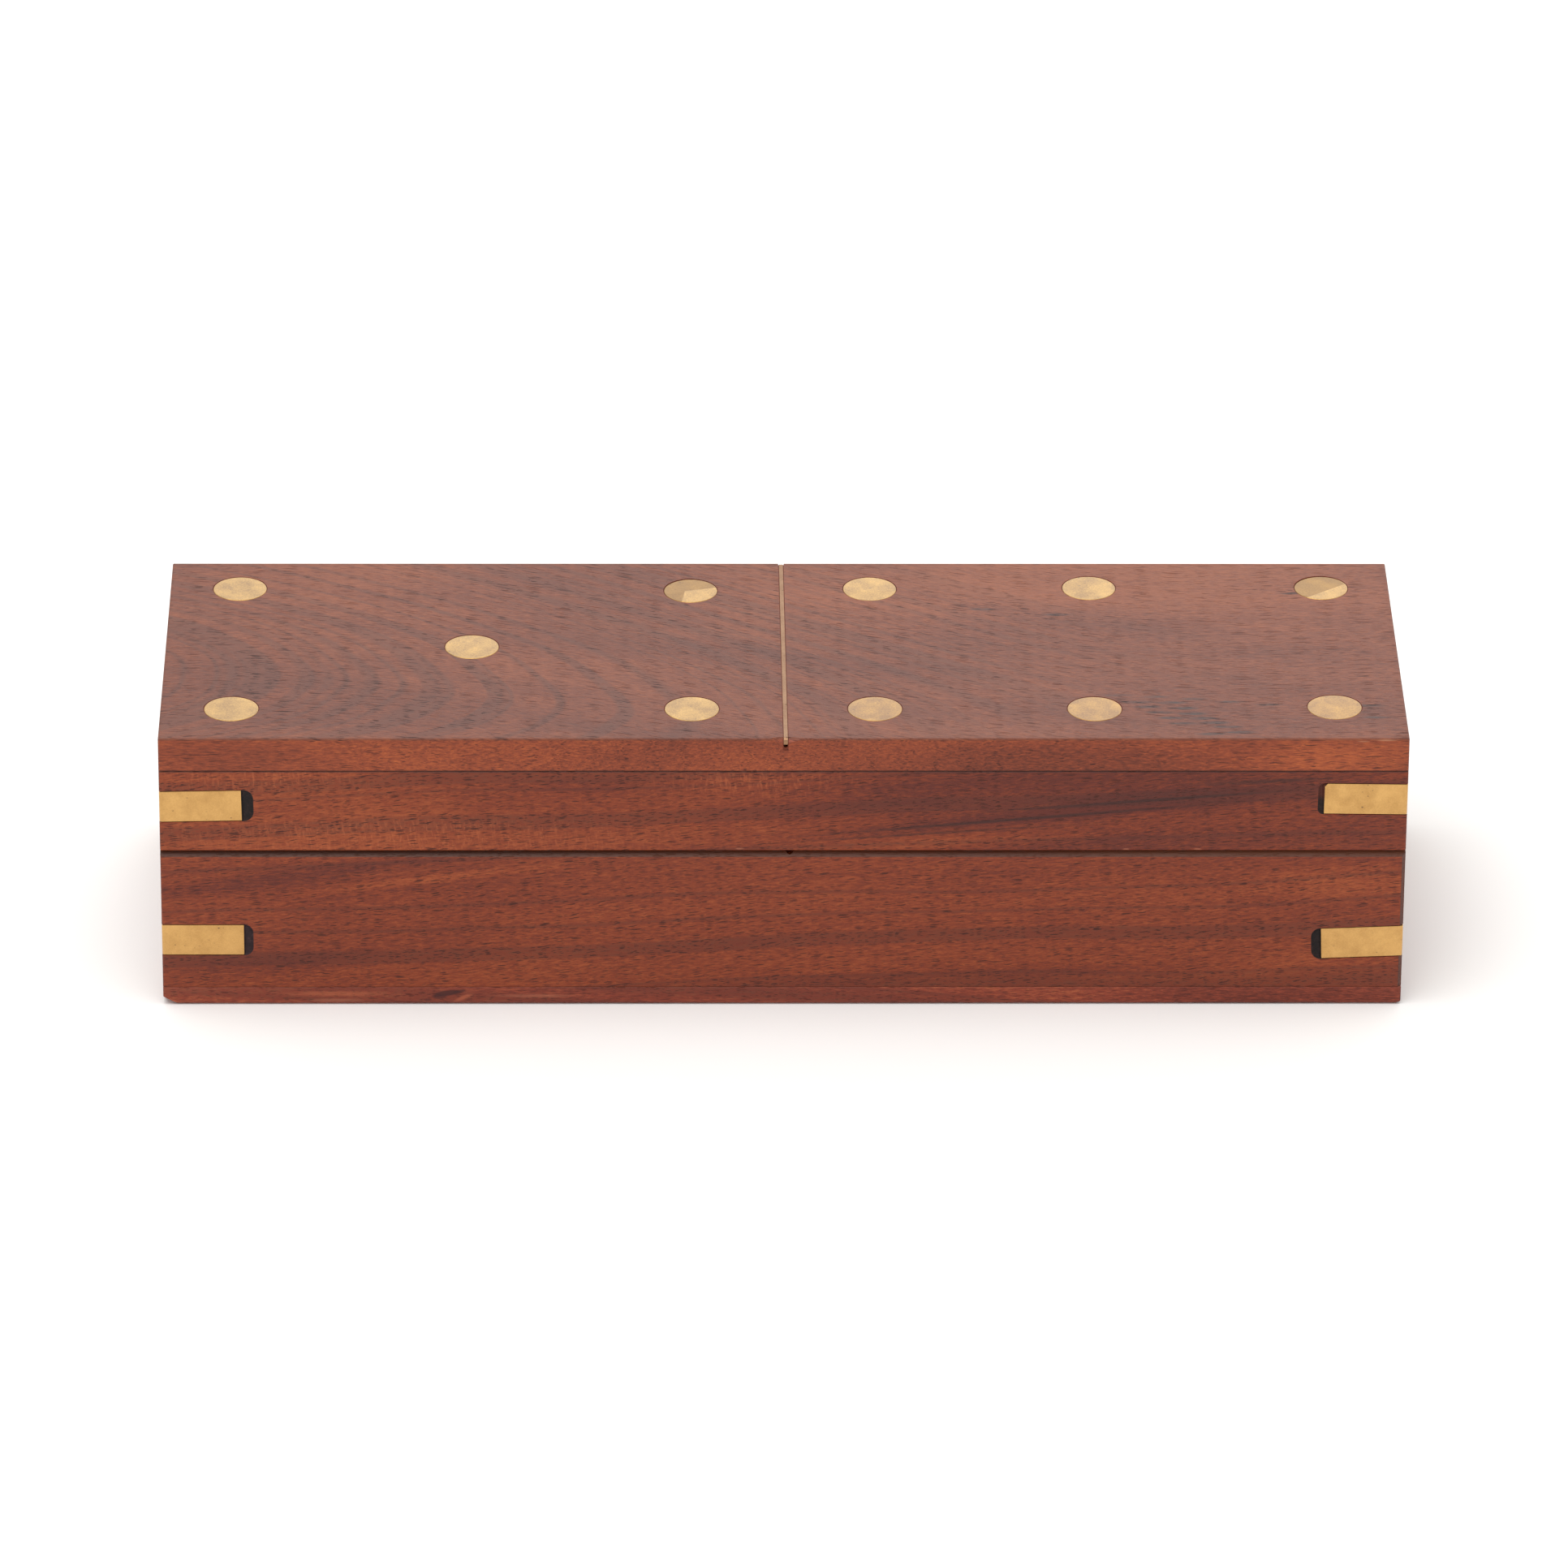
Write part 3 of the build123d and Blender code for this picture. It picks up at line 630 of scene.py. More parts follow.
# %% The board of the top
top_panel = dict(
    shift=(310, 40, 12), bend=(-95, 80, 36),
    rings=dict(lift=0, across=-9.2, depth=3.0, taper=1 / 4, spacing=2.6, width=0.075),
    ring_tone=0.05, line_place=((-62, 0, TOP), (160, 60, 30)), line_tone="#402c28",
    line_dashes=0.4, pore_tone="#2a1210", pore_depth=0.45, pore_length=5.0, pore_share=0.8,
    tones=("#50261a", "#6e3620", "#88492a"),
    edge=((0, 0, 44), (ALL, ALL, 3.9), ("#5c2412", "#84391c", "#a65126")),
    raw=((0, 0, 37), (ALL, ALL, 5.2)),
    # The first three shades lighten the back of the top, most at the right: a painted reflection of
    # the back card, on top of the one that the card itself gives.
    shades=[((60, 30, TOP), (75, 34, 3), 0.35, 0.9),
            ((10, 20, TOP), (40, 22, 3), 0.2, 0.9),
            ((-75, 28, TOP), (35, 20, 3), 0.2, 0.9),
            ((38, FRONT, 44), (34, 2, 6), -0.3, 0.8),
            ((88, FRONT, 44), (18, 2, 6), 0.25, 0.8),
            ((66, -25, TOP), (6, 4, 2), -0.12, 0.9),
            ((93, -22, TOP), (7, 2.5, 2), -0.2, 0.9)],
    # A second set of arches lies right of the six's middle front pip. It is seen as falling
    # rows of streaks.
    streaks=[*dark_fibres(2.8, (57, -19.3), (58.6, -21), (60.4, -23), (62, -25), (64, -27)),
             *dark_fibres(3.6, (62.5, -19.5), (64.4, -21.5), (65.6, -23.5), (67.4, -25.2),
                          (69.2, -26.7), (71, -28.2), (73, -30.2), (68.5, -30.8)),
             *dark_fibres(2.0, (54, -16.8), (60, -17.4), (66, -18.2), (72, -19.2), (78, -20.2)),
             *dark_fibres(2.6, (95, -24.8), (94.5, -20.6), (45, 13), (33, 15), (84, 21))],
    dashes=[((0, 0, 44), (ALL, ALL, 3.9), 0.15, 0.1),
            ((88, FRONT, 44), (16, 2, 4), 0.3, 0.8),
            ((60, -20, TOP), (8, 4, 2), 0.5, 0.9),
            ((67, -26, TOP), (7, 4, 2), 0.5, 0.9),
            ((94, -22, TOP), (9, 4, 2), 0.6, 0.9),
            ((33, 14, TOP), (18, 6, 2), 0.6, 0.9),
            ((52, 11, TOP), (14, 5, 2), 0.6, 0.9),
            ((86, 22, TOP), (20, 5, 2), 0.6, 0.9),
            ((94, -10, TOP), (10, 2.5, 2), 0.6, 0.9),
            ((-62, -16, TOP), (70, 22, 2), 0.15, 0.9)],
    # The right front corner has been knocked, and shows pale wood.
    marks=[JOINT_MARK,
           ((96.3, FRONT, 47.7), (2.2, 0.5, 0.22), "#bc8462", 0.5, 0.8),
           ((92.6, FRONT, 47.5), (1.4, 0.5, 0.2), "#bc8462", 0.35, 0.8)])
print("top:", len(top_panel["shades"]), "shades,", len(top_panel["streaks"]), "streaks")

# %% [markdown]
# ## The front of the lid and of the base
#
# These two boards face the camera. They have calmer flecks and stronger pores than the rest.
# A dark streak rises across the right half of the lid's front, and curly grain glints on its
# left half. The base is quieter.

# %% The boards of the front
front_board = dict(rings=dict(STRAIGHT, lift=5.0), tones=("#581d10", "#7b3011", "#95461f"),
                   pore_tone="#42180c", pore_depth=0.9, pore_length=2.4)
lid_front = dict(
    front_board, shift=(20, 10, 80), patches=0.35, raw=((0, -20, 35), (ALL, 5.6, ALL)),
    ripple=0.4,
    ripple_places=[((-60, FRONT, 30), (60, 9, 6)), ((-84, FRONT, 41), (24, 9, 4)),
                   ((-5, FRONT, 40), (24, 9, 4))],
    shades=[((60, FRONT, 36), (75, 9, 14), -0.3, 0.6),
            ((-78, FRONT, 35), (55, 9, 14), 0.3, 0.9),
            ((42, FRONT, 34.2), (48, 9, 2.0), -0.45, 0.9, 5.5),
            ((66, FRONT, 38.4), (26, 9, 1.3), -0.3, 0.9, 4.0),
            ((30, FRONT, 29.6), (36, 9, 1.6), 0.3, 0.9, 3.0),
            ((-30, FRONT, 39.5), (24, 9, 2.2), -0.2, 0.9)],
    marks=[JOINT_MARK,
           ((38, FRONT, 33.6), (48, 1, 0.45), "#2c120e", 0.75, 0.9, 5.0),
           ((58, FRONT, 36.9), (36, 1, 0.45), "#2c120e", 0.75, 0.9, 4.5),
           ((26, FRONT, 31.2), (36, 1, 0.35), "#2c120e", 0.55, 0.9, 4.0),
           ((78, FRONT, 40.4), (16, 1, 0.6), "#2c120e", 0.6, 0.9, 3.0),
           pale_chip(-7, 28.3, 0.9, 0.22), pale_chip(55, 28.2, 0.7, 0.2),
           pale_chip(66.5, 28.2, 0.8, 0.2)])
base_front = dict(
    front_board, shift=(-220, 60, 10), ring_tone=0.12, patches=0.3,
    raw=((0, -20, 15), (ALL, 5.6, ALL)),
    shades=[((-78, FRONT, 23.3), (44, 9, 2.4), -0.35, 0.9, 8.5),
            ((-58, FRONT, 22.6), (30, 9, 1.2), 0.4, 0.9, 7.0),
            ((-86, FRONT, 7), (30, 9, 4), -0.25, 0.9, 6.0),
            ((30, FRONT, 5.5), (60, 9, 1.6), -0.15, 0.9, 2.0),
            ((88, FRONT, 22), (20, 9, 5), 0.25, 0.9)],
    # The rim's marks and the bevel's mark here are painted shade.
    marks=[*rim_shade_marks(FRONT), BEVEL_SHADE_MARK])
print("front boards:", len(lid_front["marks"]), "and", len(base_front["marks"]), "marks")

# %% [markdown]
# ## The other boards
#
# The bottom panel shows a small knot at its front edge, made of four dark spots and a pale
# one. The back and the sides are plain, with their grain along their own length.

# %% Finish all ten boards
bottom_panel = dict(
    shift=(90, -80, 40), raw=((0, 0, 8), (ALL, ALL, 4.85)), pore_depth=0.45,
    tones=("#5c2012", "#843620", "#a65632"),
    shades=[((88, FRONT, 1.6), (45, 4, 4), -0.4, 0.8)],
    marks=[((-54.2, FRONT, 2.1), (2.7, 2, 0.62), "#36100f", 0.8, 0.45, 8.0),
           ((-55.4, FRONT, 1.5), (1.5, 2, 0.6), "#3e1412", 0.7, 0.5),
           ((-52.2, FRONT, 2.4), (1.5, 2, 0.42), "#36100f", 0.7, 0.6, 12.0),
           ((-57.3, FRONT, 0.9), (0.9, 2, 0.3), "#3e1412", 0.6, 0.6),
           ((-51.5, FRONT, 1.3), (2.2, 2, 0.5), "#b05c3c", 0.5, 0.7, 25.0),
           ((-72, FRONT, 2.0), (12, 2, 0.7), "#b4603c", 0.4, 0.8),
           ((-72, FRONT, 0.8), (6, 2, 0.5), "#a8664a", 0.4, 0.8),
           ((-40, FRONT, 1.6), (9, 2, 0.5), "#a8664a", 0.35, 0.8)])


def side_board(shift, x, z, marks=()):
    """A side board, whose grain runs along the box's Y, and whose inside is raw."""
    return dict(turned=QUARTER, shift=shift, raw=((x, 0, z), (5.1, ALL, ALL)), marks=marks)


# The rim's painted shade, at both ends of the side boards.
rim_end_shades = [*rim_shade_marks(FRONT), *rim_shade_marks(BACK)]
boards = {
    "lid_top_panel": top_panel,
    "lid_front_wall": lid_front,
    "base_front_wall": base_front,
    "base_bottom_panel": bottom_panel,
    "lid_back_wall": dict(shift=(500, 10, 80), raw=((0, 20, 35), (ALL, 5.6, ALL))),
    # The base's back and side boards carry the rim's painted shade, and the right one the bevel's.
    "base_back_wall": dict(shift=(700, 60, 10), raw=((0, 20, 15), (ALL, 5.6, ALL)),
                           marks=rim_shade_marks(BACK)),
    "lid_left_wall": side_board((20, 300, 0), -88, 35),
    "lid_right_wall": side_board((80, 340, 0), 88, 35),
    "base_left_wall": side_board((20, 400, 0), -88, 15, rim_end_shades),
    "base_right_wall": side_board((90, 460, 0), 88, 15, [*rim_end_shades, BEVEL_SHADE_MARK]),
}
for node, look in boards.items():
    nodes[node].data.materials.clear()
    nodes[node].data.materials.append(sheesham("waxed_sheesham_" + node, **look))
print(len(boards), "boards finished")

# %% [markdown]
# ## Brass
#
# The inlays are cut from rolled brass sheet and rubbed down flush with the wood, so they are
# satin, with fine scratches every way, a few pits, and the faint brown clouds of old lacquer.
# Brass is a metal: it has no colour of its own in diffuse light, and mirrors the tent in
# yellow. The scratches are in the roughness and the bump, the clouds in the colour.

# %% Scratches and pits
SCRATCH = (0.33, 6.5, 6.5)    # of them to a mm along and across: 3 mm long, 0.15 mm wide
PIT_SIZE = 0.38               # mm


def scratches(tree, place):
    """Scratches in two directions. Real ones are hundredths of a millimetre wide, and these
    are drawn 0.15 mm wide so that they show."""
    ways = []
    for turned in (0.5, -0.9):
        turn = add(tree, "ShaderNodeMapping",
                   {"Vector": place, "Rotation": (0.0, turned, turned)})
        way = add(tree, "ShaderNodeMapping",
                  {"Vector": turn.outputs[0], "Scale": SCRATCH})
        ways.append(add(tree, "ShaderNodeTexNoise",
                        {"Vector": way.outputs[0], "Scale": 1.0, "Detail": 2.0,
                         "Roughness": 0.6}).outputs[0])
    return add(tree, "ShaderNodeMath", {0: ways[0], 1: ways[1]}, operation="MULTIPLY").outputs[0]


def pits(tree, place, cloud, share):
    """Small round pits, more of them where the clouds of tarnish are."""
    pit = pores(tree, place, 0.5, PIT_SIZE, share, 0.32)
    depth = add(tree, "ShaderNodeMapRange",
                {"Value": cloud, "From Min": 0.42, "From Max": 0.6,
                 "To Min": 0.1, "To Max": 0.8})
    return add(tree, "ShaderNodeMath", {0: pit, 1: depth.outputs["Result"]},
               operation="MULTIPLY").outputs[0]


print("scratches", round(1 / SCRATCH[0], 1), "mm long, pits up to", PIT_SIZE, "mm across")

# %% The finish of rubbed brass
TARNISH_AND_SHEEN_SPREAD = 0.28         # of the mixed noises, on each side of their middle
PIT_TONE = "#5a3c1e"


def rubbed_brass(name, light, dark, roughness=0.36, lacquer=0.0, strokes=0.0, speckle=0.35,
                 scratched=0.45, pitted=0.25, shift=(0, 0, 0)):
    """Rolled brass sheet, rubbed down by hand with fine abrasive. strokes, speckle and
    scratched say how much the file's patches, the abrasive's grain and the scratches count."""
    material, tree, shader = new_material(name)
    world = add(tree, "ShaderNodeTexCoord").outputs["Object"]
    place = add(tree, "ShaderNodeMapping",
                {"Vector": world, "Scale": (1 / MM,) * 3, "Location": shift}).outputs[0]
    scratch = scratches(tree, place)
    # Clouds of tarnish 3 mm across.
    cloud = add(tree, "ShaderNodeTexNoise",
                {"Vector": place, "Scale": 0.33, "Detail": 3.0, "Roughness": 0.55}).outputs[0]
    # Strokes of the file leave patches 4 mm across, each with its own sheen.
    patch = add(tree, "ShaderNodeTexVoronoi", {"Vector": place, "Scale": 0.24})
    sheen = add(tree, "ShaderNodeSeparateColor", {0: patch.outputs["Color"]})
    # Grain of the abrasive, drawn 0.3 mm wide so that it shows.
    grain = add(tree, "ShaderNodeTexNoise",
                {"Vector": place, "Scale": 3.5, "Detail": 2.0, "Roughness": 0.6})
    # Painted sheen: the file's patches are mixed into the colour with the clouds of tarnish, the
    # abrasive's grain and the scratches.
    tarnish_and_sheen = cloud
    for part, share in ((sheen.outputs[0], strokes), (grain.outputs[0], speckle),
                        (scratch, scratched)):
        tarnish_and_sheen = add(tree, "ShaderNodeMath", {0: part, 1: share, 2: tarnish_and_sheen},
                      operation="MULTIPLY_ADD").outputs[0]
    # Two scratches multiplied have a middle of a quarter.
    middle = 0.5 + strokes / 2 + speckle / 2 + scratched / 4
    amount = add(tree, "ShaderNodeMapRange",
                 {"Value": tarnish_and_sheen, "From Min": middle - TARNISH_AND_SHEEN_SPREAD,
                  "From Max": middle + TARNISH_AND_SHEEN_SPREAD})
    colour = add(tree, "ShaderNodeMix",
                 {0: amount.outputs["Result"], 6: linear(light), 7: linear(dark)},
                 data_type="RGBA")
    colour = add(tree, "ShaderNodeMix",
                 {0: pits(tree, place, cloud, pitted), 6: colour.outputs[2], 7: linear(PIT_TONE)},
                 data_type="RGBA")
    tree.links.new(colour.outputs[2], shader.inputs["Base Color"])
    shader.inputs["Metallic"].default_value = 1.0
    rough = add(tree, "ShaderNodeMath", {0: scratch, 1: 0.5, 2: roughness - 0.12},
                operation="MULTIPLY_ADD")
    tree.links.new(rough.outputs[0], shader.inputs["Roughness"])
    if lacquer:
        shader.inputs["Coat Weight"].default_value = lacquer
        shader.inputs["Coat Roughness"].default_value = 0.3
    bump = add(tree, "ShaderNodeBump",
               {"Height": scratch, "Strength": 0.35, "Distance": 0.03 * MM})
    tree.links.new(bump.outputs[0], shader.inputs["Normal"])
    return material


# The pips were rubbed with a coarser paper than the straps. The front pips of the six get a
# darker copy of the pips' brass: painted shade that takes off some of the back card's reflection
# there. Where the file's last strokes went across, a darker brass still is painted on as shade
# for the duller sheen that those strokes leave.
pip_brass = rubbed_brass("rubbed_brass_pips", "#cc9e48", "#966c26", lacquer=1.0, strokes=0.15,
                         speckle=0.9)
shaded_pip_brass = rubbed_brass("shaded_pip_brass_pips", "#bc8b34", "#885b1a", lacquer=1.0, strokes=0.15,
                          speckle=0.9, shift=(9, 4, 0))
shaded_facet_brass = rubbed_brass("shaded_facet_brass_pips", "#a67a2c", "#825a18", lacquer=0.6,
                           strokes=0.15, speckle=0.6, shift=(0, 30, 0))
strap_brass = rubbed_brass("rubbed_brass_straps", "#d2a25a", "#b1823e", lacquer=1.0,
                           speckle=0.25, scratched=0.5, pitted=0.4, shift=(40, 7, 3))
strip_brass = rubbed_brass("filed_brass_strip", "#a98567", "#916d52", roughness=0.42,
                           shift=(5, 70, 2))
hinge_brass = rubbed_brass("satin_brass_hinges", "#c2954c", "#a67a38", shift=(70, 9, 1))
screw_brass = rubbed_brass("turned_brass_screws", "#b98a46", "#97692e", shift=(10, 5, 8))
print("seven finishes of brass")

# %% [markdown]
# ## Filler
#
# The slots for the straps were cut with a round bit, so each ends in a half circle that the
# strap doesn't fill. The maker filled it with dark resin and sawdust, which has shrunk.

# %% The finish of resin and sawdust
GRIT = 1.6                    # grains of sawdust to a mm


def slot_filler(name, tones, mark=None):
    """Resin filled with fine dark sawdust, matt and a little grainy."""
    material, tree, shader = new_material(name)
    world = add(tree, "ShaderNodeTexCoord").outputs["Object"]
    place = add(tree, "ShaderNodeMapping", {"Vector": world, "Scale": (1 / MM,) * 3}).outputs[0]
    grit = add(tree, "ShaderNodeTexNoise",
               {"Vector": place, "Scale": GRIT, "Detail": 4.0, "Roughness": 0.65})
    colour = add(tree, "ShaderNodeValToRGB", {0: grit.outputs[0]},
                 stops=[(0.3, tones[0]), (0.55, tones[1]), (0.75, tones[2])]).outputs[0]
    if mark:
        colour = marked(tree, place, colour, mark)
    tree.links.new(colour, shader.inputs["Base Color"])
    # The dust leaves it porous, so it shines far less than clear resin.
    shader.inputs["Roughness"].default_value = 0.6
    shader.inputs["Specular IOR Level"].default_value = 0.25
    bump = add(tree, "ShaderNodeBump",
               {"Height": grit.outputs[0], "Strength": 0.8, "Distance": 0.1 * MM})
    tree.links.new(bump.outputs[0], shader.inputs["Normal"])
    return material


# The resin wasn't mixed to one colour: the slots differ, and one is half wood dust.
filler = slot_filler("resin_and_sawdust_black", ("#0c0606", "#170c0b", "#2e1c1a"))
plum_filler = slot_filler("resin_and_sawdust_plum", ("#1c0f12", "#2c1a1e", "#45302f"))
pale_filler = slot_filler("resin_and_sawdust_brown", ("#150b08", "#24130e", "#3a221a"),
                          ((87, FRONT, 39.6), (6, 6, 3.0), "#4c2016", 0.85, 0.5))
print("three tones of filler")

# %% [markdown]
# ## Solids that stay as they are
#
# The hinge leaves, the pins and the screws are stamped and turned parts, and CAD gives their
# true shapes, down to the slots in the screws. They only need their brass. The other brass and
# the filler were worked by hand, so they are modelled again below, each with its finish.

# %% Give the hinges and the screws their brass
finishes = {"leaf": hinge_brass, "pin": hinge_brass, "screws": screw_brass}
for name, node in nodes.items():
    for word, material in finishes.items():
        if word in name:
            node.data.materials.clear()
            node.data.materials.append(material)
print("brass for each", ", ".join(finishes))

# %% [markdown]
# ## From a worked shape to a piece of the box
#
# A bmesh is a bench to work on: the shape becomes an object only when it is taken off it.
# Every piece that is modelled here stands for one of the solids, so it rides on that solid's
# body and takes its place in the picture.

# %% Take a shape off the bench, and extrude one on it
def take_off(shape, name, node, finish):
    """Turn a worked shape into the piece that stands for a solid."""
    mesh = bpy.data.meshes.new(name)
    shape.to_mesh(mesh)
    shape.free()
    mesh.materials.append(finish)
    piece = bpy.data.objects.new(name, mesh)
    bpy.context.scene.collection.objects.link(piece)
    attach(piece, nodes[node]["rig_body"])
    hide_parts(node)
    return piece


def extruded(shape, faces, by):
    """Extrude faces by a vector, and give the vertices that moved."""
    grown = bmesh.ops.extrude_face_region(shape, geom=faces)["geom"]
    moved = [v for v in grown if isinstance(v, bmesh.types.BMVert)]
    bmesh.ops.translate(shape, verts=moved, vec=by)
    return moved


print("the bench is empty")

# %% [markdown]
# ## The pips
#
# Each pip is a disc punched from brass sheet, glued into its hole and rubbed down with the
# wood around it. A punched disc has a rolled-over rim, and a flat file never touches all of
# it at once, so the face is two or three nearly flat facets that meet in faint lines. A plain
# cylinder shows none of that. So a disc is extruded, its rim bevelled, and its face is cut
# across and each part tipped down a little, by less than a tenth of a millimetre.

# %% How each pip was filed
# Each pip's two cuts: the cut's turn in degrees, how far it is off the middle in mm, how far
# the face falls beyond it, in mm at the rim, and the finish there: 0 as the rest of the face,
# or 1 where the file's last strokes went the other way, and a darker brass is painted on as
# shade for the duller sheen that they leave.
pip_cuts = {
    "pip_five_front_outer": ((30, 0.8, 0.02, 0), (200, 1.5, 0.02, 0)),
    "pip_five_front_inner": ((115, 1.2, 0.03, 0), (300, 1.0, 0.02, 0)),
    "pip_five_centre": ((75, 0.4, 0.03, 0), (250, 1.8, 0.02, 0)),
    "pip_five_back_outer": ((160, 1.4, 0.02, 0), (20, 2.0, 0.03, 0)),
    "pip_five_back_inner": ((105, 0.1, 0.05, 1), (172, 0.9, 0.04, 1)),
    "pip_six_front_inner": ((290, 1.6, 0.02, 0), (130, 1.6, 0.03, 0)),
    "pip_six_front_middle": ((60, 0.2, 0.03, 0), (310, 2.0, 0.02, 0)),
    "pip_six_front_outer": ((100, 1.5, 0.02, 0), (285, 0.9, 0.03, 0)),
    "pip_six_back_inner": ((15, 1.1, 0.03, 0), (268, 0.6, 0.06, 0)),
    "pip_six_back_middle": ((220, 0.9, 0.03, 0), (50, 1.4, 0.03, 0)),
    "pip_six_back_outer": ((128, -1.3, 0.06, 1), (330, 2.8, 0.03, 0)),
}
print(len(pip_cuts), "pips, the deepest cut falls", max(c[2] for p in pip_cuts.values() for c in p),
      "mm")

# %% Punch, ease and file the eleven pips
PIP_RIM = 0.13 * MM           # how far the punch rolled the rim over


def filed_pip(node, cuts):
    """A punched disc with an eased rim and a face filed in facets."""
    low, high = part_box(node)
    radius = (high.x - low.x) / 2
    shape = bmesh.new()
    bmesh.ops.create_circle(shape, cap_ends=True, radius=radius, segments=72)
    top = extruded(shape, shape.faces[:], (0, 0, high.z - low.z))
    rim = [e for e in shape.edges if all(v in top for v in e.verts)]
    bmesh.ops.bevel(shape, geom=rim, affect="EDGES", offset=PIP_RIM, segments=3, profile=0.5,
                    material=-1)
    for turned, off, fall, finish in cuts:
        across = Vector((math.cos(math.radians(turned)), math.sin(math.radians(turned)), 0))
        bmesh.ops.bisect_plane(shape, geom=shape.verts[:] + shape.edges[:] + shape.faces[:],
                               plane_co=across * off * MM, plane_no=across)
        beyond = [v for v in shape.verts
                  if v.co.z > (high.z - low.z) / 2 and v.co.dot(across) > off * MM]
        tip = Matrix.Rotation(math.atan(fall * MM / radius), 3, Vector((0, 0, 1)).cross(across))
        bmesh.ops.rotate(shape, verts=beyond, matrix=tip,
                         cent=across * off * MM + Vector((0, 0, high.z - low.z)))
        for face in shape.faces:
            if finish and face.calc_center_median().dot(across) > off * MM:
                face.material_index = finish
    bmesh.ops.recalc_face_normals(shape, faces=shape.faces)
    bmesh.ops.translate(shape, verts=shape.verts,
                        vec=((low.x + high.x) / 2, (low.y + high.y) / 2, low.z))
    # The six's front pips take the darker copy of the brass, a painted shade.
    brass = shaded_pip_brass if node.startswith("pip_six_front") else pip_brass
    pip = take_off(shape, "filed_" + node, node, brass)
    # The second slot holds the darker brass: painted shade for the duller sheen of facets filed
    # across.
    pip.data.materials.append(shaded_facet_brass)
    return pip


for node, cuts in pip_cuts.items():
    pip = filed_pip(node, cuts)
    top = max(v.co.z for v in pip.data.vertices)
    print(pip.name, len(pip.data.polygons), "faces, highest", round(top / MM, 3), "mm")

# %% [markdown]
# ## The corner straps
#
# Each strap is an L of brass let into a slot that was cut round the corner. CAD gives it as a
# drawing does, with knife-sharp edges, but rubbing down leaves a narrow slope along every
# edge, and that slope is the bright line that makes brass look solid. The L could be modelled
# again from nothing. Here a copy of the exact solid is used, so that it can't miss its slot:
# its loose triangles are merged, its flat faces made whole, and its sharp edges bevelled.

# %% Ease the sharp edges of the eight straps
STRAP_EASE = 0.1 * MM
SHARP = math.radians(40)      # an edge that turns by less is left as it is


def whole_copy(node):
    """A copy of a solid on the bench, with its triangles merged into whole faces."""
    shape = bmesh.new()
    shape.from_mesh(nodes[node].data)
    bmesh.ops.remove_doubles(shape, verts=shape.verts, dist=0.002 * MM)
    bmesh.ops.dissolve_limit(shape, angle_limit=math.radians(0.5), verts=shape.verts[:],
                             edges=shape.edges[:])
    return shape


def eased_strap(node):
    """A strap like the solid, with its sharp edges rounded off."""
    shape = whole_copy(node)
    edges = [e for e in shape.edges if e.is_manifold and e.calc_face_angle() > SHARP]
    bmesh.ops.bevel(shape, geom=edges, affect="EDGES", offset=STRAP_EASE, segments=2,
                    profile=0.5, material=-1, clamp_overlap=True)
    bmesh.ops.remove_doubles(shape, verts=shape.verts, dist=0.0005 * MM)
    open_edges = sum(not e.is_manifold for e in shape.edges)
    strap = take_off(shape, "eased_" + node, node, strap_brass)
    print(strap.name, len(strap.data.polygons), "faces,", open_edges, "open edges")


for node in [n for n in nodes if n.endswith("_strap")]:
    eased_strap(node)

# %% [markdown]
# ## The strip across the top
#
# The strip is a narrow ribbon of brass that stands on edge in a saw kerf. The maker glued it
# in too long, and filed both ends back until they curved over the edges of the panel. The
# kerf was sawn deeper than the strip, so a small dark hole is left under each end. The strip
# is drawn here from the side, given its thickness by an extrusion, and its ends are rounded
# with a bevel on the corners that the file took off.

# %% File the strip
STRIP_SUNK = 0.05 * MM        # how far the strip's top is below the wood
STRIP_EASE = 0.05 * MM
NOSE_ROUND = 0.55 * MM        # top corner of each end
CHIN_ROUND = 0.4 * MM         # bottom corner, bent up by the file
CHIN_RISE = 0.25 * MM         # how far it is bent up
CHIN_RUN = 2 * MM             # and how far from the end that starts

low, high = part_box("divider_strip")
top, chin = high.z - STRIP_SUNK, low.z + CHIN_RISE
shape = bmesh.new()
side_view = [shape.verts.new((low.x, y, z)) for y, z in
             ((low.y, chin), (low.y, top), (high.y, top), (high.y, chin),
              (high.y - CHIN_RUN, low.z), (low.y + CHIN_RUN, low.z))]
extruded(shape, [shape.faces.new(side_view)], (high.x - low.x, 0, 0))
bmesh.ops.recalc_face_normals(shape, faces=shape.faces)
for level, radius in ((top, NOSE_ROUND), (chin, CHIN_ROUND)):
    corners = [e for e in shape.edges
               if all(abs(v.co.z - level) < 0.001 * MM for v in e.verts)
               and abs(e.verts[0].co.y - e.verts[1].co.y) < 0.001 * MM]
    bmesh.ops.bevel(shape, geom=corners, affect="EDGES", offset=radius, segments=5, profile=0.5,
                    material=-1)
arrises = [e for e in shape.edges if e.calc_face_angle() > math.radians(60)]
bmesh.ops.bevel(shape, geom=arrises, affect="EDGES", offset=STRIP_EASE, segments=2, profile=0.5,
                material=-1)
strip = take_off(shape, "filed_strip", "divider_strip", strip_brass)
print(strip.name, len(strip.data.polygons), "faces")

# %% [markdown]
# ## Glue and dust round the brass
#
# Each pip and the strip sit a hair loose in the wood, and glue mixed with sanding dust fills
# the gap. It is a brown line a tenth of a millimetre wide, and without it the gap would be
# black, or let light through. Round a pip it is a thin ring, spun from a small rectangle.

# %% Spin the rings of glue
GLUE_GAP = 0.1 * MM
GLUE_LOW = 0.04 * MM          # how far the glue stands below the brass
glue = slot_filler("glue_and_sanding_dust", ("#4a1d10", "#6a2c18", "#7d3c24"))


